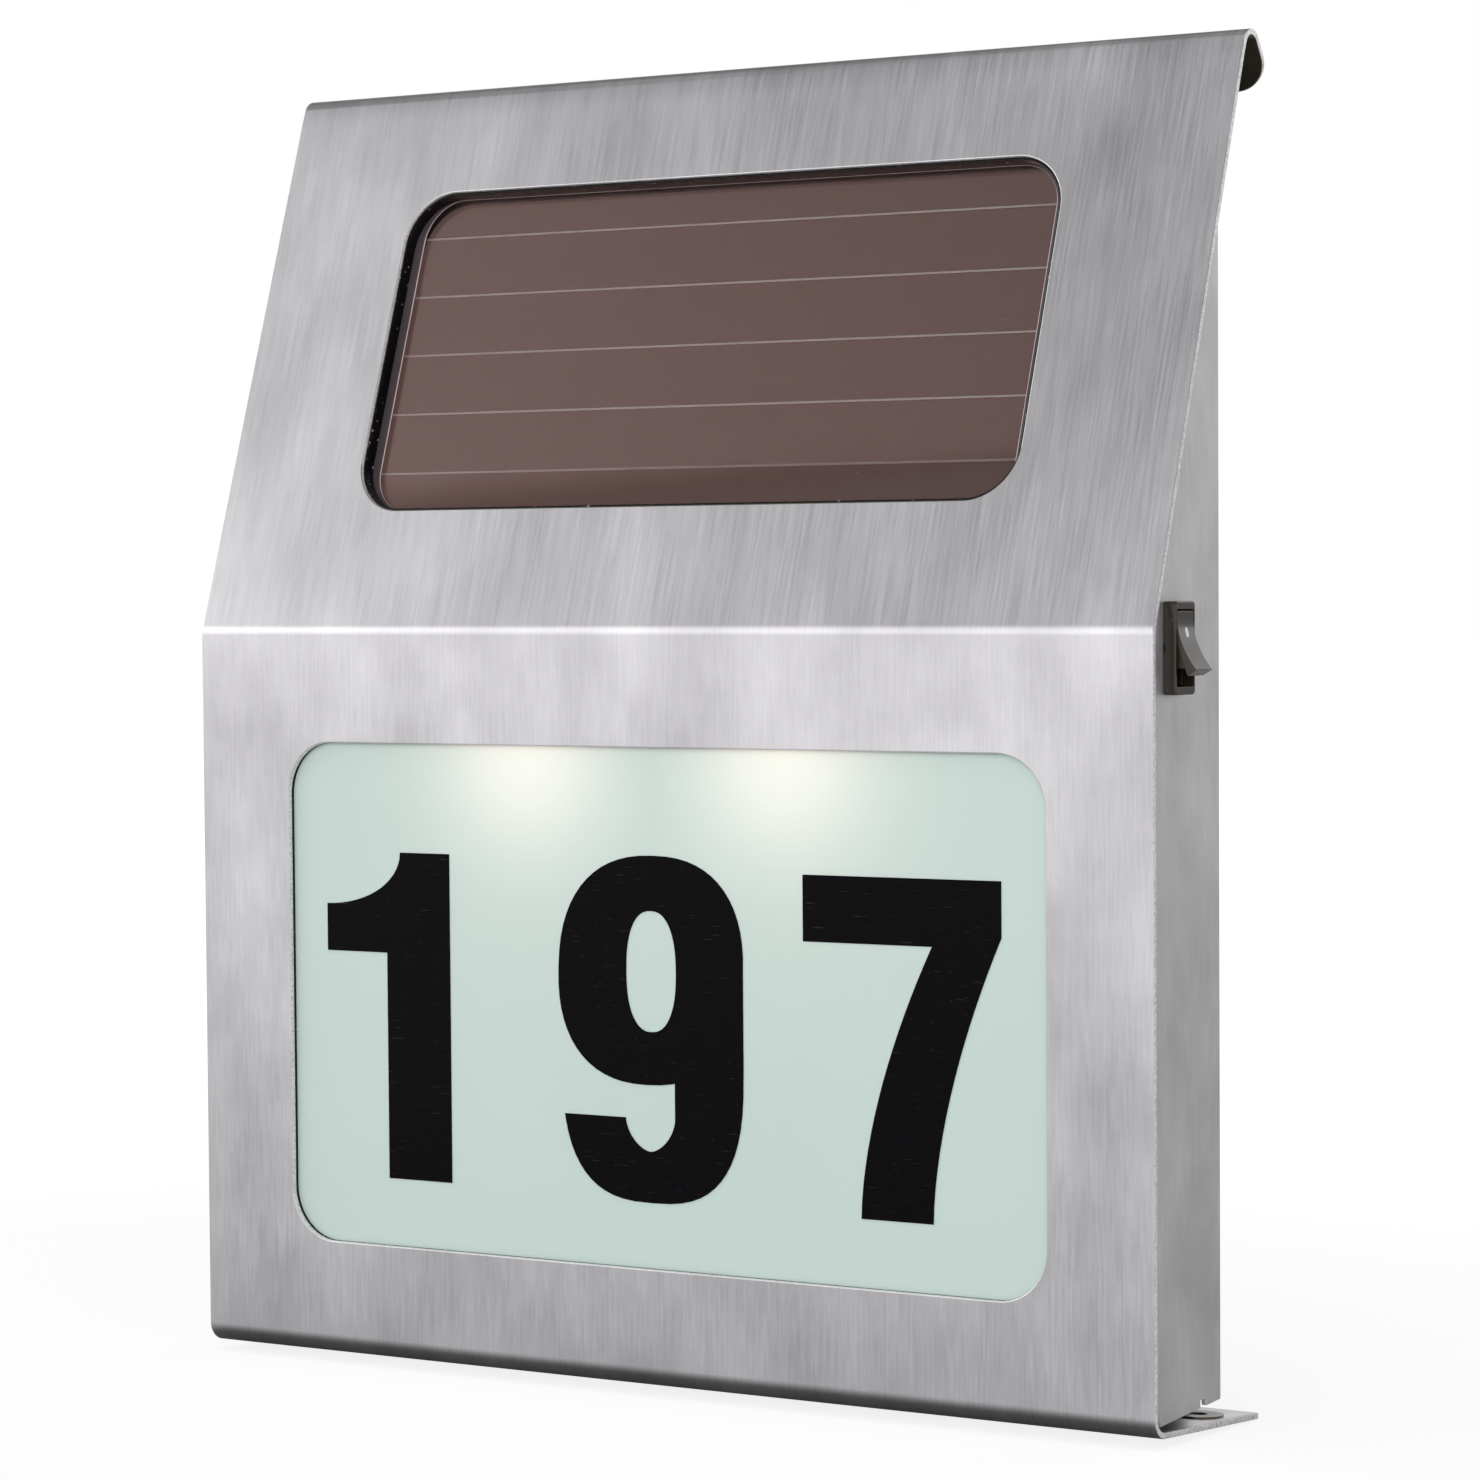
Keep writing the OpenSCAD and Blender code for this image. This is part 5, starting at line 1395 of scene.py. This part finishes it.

# %% [markdown]
# ## Boards and what they carry
#
# Both boards are glass-fibre laminate under green lacquer. Copper tracks show through the lacquer as
# paler lines, and bare round pads are dotted over them. The chip has two rows of bent legs, the
# coil is enamelled copper on a ferrite drum, and small resistors stand round them.

# %% Board lacquer
def lacquered(name):
    """Green lacquer over copper tracks 0.5 mm wide, 1.5 mm apart, with bare round pads."""
    material, tree = start_material(name)
    place = add(tree, "ShaderNodeSeparateXYZ", {0: out(add(tree, "ShaderNodeTexCoord"), "Object")})
    flat = add(tree, "ShaderNodeCombineXYZ", {0: out(place, "X"), 1: out(place, "Z")})
    tracks = add(tree, "ShaderNodeTexBrick", {"Vector": flat, "Scale": 1 / 0.01, "Mortar Size": 0.025,
        "Mortar Smooth": 0.1, "Brick Width": 2.7, "Row Height": 0.15, "Color1": (0, 0, 0, 1),
        "Color2": (0, 0, 0, 1), "Mortar": (1, 1, 1, 1)}, offset=0.37, offset_frequency=3)
    dots = add(tree, "ShaderNodeTexVoronoi", {"Vector": flat, "Scale": 1 / 0.005})
    pad = add(tree, "ShaderNodeMapRange", {"Value": out(dots, "Distance"),
        "From Min": 0.15, "From Max": 0.13})
    flow = speckle(tree, 0.004, 3.0)
    green = add(tree, "ShaderNodeMix", {"Factor": out(flow, "Fac"), "A": "#0d5230",
        "B": "#115f38"}, data_type="RGBA")
    green = add(tree, "ShaderNodeMix", {"Factor": out(tracks, "Fac"), "A": green, "B": "#2f8a52"},
        data_type="RGBA")
    tone = add(tree, "ShaderNodeMix", {"Factor": pad, "A": green, "B": "#c9c6bd"}, data_type="RGBA")
    bump = add(tree, "ShaderNodeBump", {"Height": out(tracks, "Fac"), "Strength": 0.5, "Distance": 0.00004})
    coat = add(tree, "ShaderNodeBsdfPrincipled", {"Base Color": tone, "Roughness": 0.25, "IOR": 1.5,
        "Metallic": pad})
    finish_material(tree, coat, bump)
    return material


board_green = lacquered("green_board_lacquer")
for name, node in (("lamp_laminate", "lamp_board"), ("control_laminate", "control_board")):
    eased_copy(name, node, 0.1, board_green)

# %% Chip and its legs
chip_body = prism("chip_body", rounded_outline(8, 4.4, 0.1, 2), 0.25, 1.45,
    face_on(CHIP_X, BOARD_FACE, CHIP_Z) @ Matrix.Rotation(math.pi, 4, "X"))
chip_body.data.materials.append(epoxy)
dimple = lathe("dimple", [(0, -0.12), (0.45, -0.12), (0.45, 1), (0, 1)])
dimple.data.transform(Matrix.Translation(at(32.2, 16.25, 53.8)) @ Matrix.Rotation(-math.pi / 2, 4, "X"))
boolean(chip_body, dimple, "DIFFERENCE")
set_in(chip_body, "charge_chip", 0.12)
legs = []
for side in (-1, 1):
    route = [(0, 15.6, CHIP_Z + side * 2.1), (0, 15.6, CHIP_Z + side * 2.5), (0, 14.92, CHIP_Z + side * 2.65),
        (0, 14.92, CHIP_Z + side * 3.0)]
    leg = grow("leg", path_mesh([at(*p) - at(0, 0, 0) for p in route],
        bend_radius=[0, 0.15 * MM, 0.15 * MM, 0]), folded_sheet, Width=0.45 * MM, Thickness=0.2 * MM, Steps=4,
        Material=nickel)
    legs.append(repeat("legs", leg, [(CHIP_X + (k - 2.5) * LEG_STEP, 0, 0) for k in range(6)], TO_TOP,
        nickel))
legs = join("chip_legs", *legs)
ease(legs, 0)
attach(legs, node_body["charge_chip"])

# %% Coil
drum = lathe("coil_drum", [(0, 0), (3, 0), (3, 0.45), (2.9, 0.55), (1.9, 0.55), (1.9, 2.85), (2.9, 2.85),
    (3, 2.95), (3, 3.35), (2.9, 3.4), (0.6, 3.4), (0.5, 3.2), (0, 3.2)], 48)
drum.data.materials.append(ferrite)
winding = shift(wind("coil_winding", 2.5, 2.0, 9.5, 0.12, copper, sides=8), z=0.72)
under = shift(lathe("coil_under", [(0, 0), (2.45, 0), (2.45, 2.1), (0, 2.1)], 48), z=0.65)
under.data.materials.append(copper)
to_board = Matrix.Translation(at(COIL_X, BOARD_FACE, COIL_Z)) @ Matrix.Rotation(-math.pi / 2, 4, "X")
winding = join("coil_winding", winding, under)
for piece in (drum, winding):
    piece.data.transform(to_board)
    ease(piece, 0, sharp=40)
seat(drum, "charge_coil")
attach(winding, node_body["charge_coil"])

# %% Small resistors and tinned pads
ceramic = smooth("white_fired_ceramic", "#d9d6cd", "#e6e3da", 0.35)
body = loose_prism("resistor", rounded_outline(1.5, 1.15, 0.05, 1), 0, 0.5)
caps = [loose_prism("cap", rounded_outline(0.3, 1.2, 0.05, 1), -0.01, 0.53, x) for x in (-0.85, 0.85)]
for piece, material in ((body, ceramic), (caps[0], nickel), (caps[1], nickel)):
    piece.data.materials.append(material)
resistor = join("resistor_shape", body, *caps)
spots = [(x, BOARD_FACE, z) for x, z in ((44, 50), (44, 53), (44, 56), (44, 59), (49, 52), (49, 56),
    (27.5, 49), (31, 49), (35, 63.5), (40, 63.5), (54, 46), (54, 49), (18, 50), (18, 53))]
resistors = repeat("resistors", resistor, spots, TO_BACK)
ease(resistors, 0.03)
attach(resistors, node_body["control_board"])

# %% Sockets for the leads
shell = loose_prism("socket", rounded_outline(6, 3.2, 0.3, 3), -6, 0)
for outline, low, high, x, y in ((rounded_outline(4.9, 1.9, 0.2, 2), -3.6, 1, 0, 0.05),
        (rounded_outline(3.2, 1.0, 0.1, 2), -4.8, 1, 0, 1.4)):
    boolean(shell, loose_prism("cavity", outline, low, high, x, y), "DIFFERENCE")
spots = [(SOCKET_X + k * SOCKET_STEP, SOCKET_Y, SOCKET_Z) for k in (-1, 0, 1)]
sockets = repeat("socket_row", shell, spots, TO_TOP, white_abs)
set_in(sockets, "lead_sockets", 0.1)

# %% Lamps
dome = [(1.3 * math.cos(a), 3.3 + 1.4 * math.sin(a)) for a in (math.pi / 2 * k / 8 for k in range(8))]
bulb = lathe("bulb", [(0, 0), (1.4, 0), (1.5, 0.1), (1.5, 0.6), (1.4, 0.7), (1.3, 0.75), *dome, (0, 4.7)], 36)
lamp_spots = [(x, 7.15, 111.6) for x in (-26, 26)]
bulbs = repeat("lamp_bulbs", bulb, lamp_spots, (math.pi, 0, 0), resin)
set_in(bulbs, "lamps", 0, sharp=40)

# %% Switch blades
blades = loose_copy("switch_blades", "switch_terminals", nickel)
holes = [prism("hole", ring(0.5, 24), -1, 1, Matrix.Translation((81.2, 7.1, z))) for z in (121.1, 127.1)]
cut(blades, holes)
set_in(blades, "switch_terminals", 0.08)
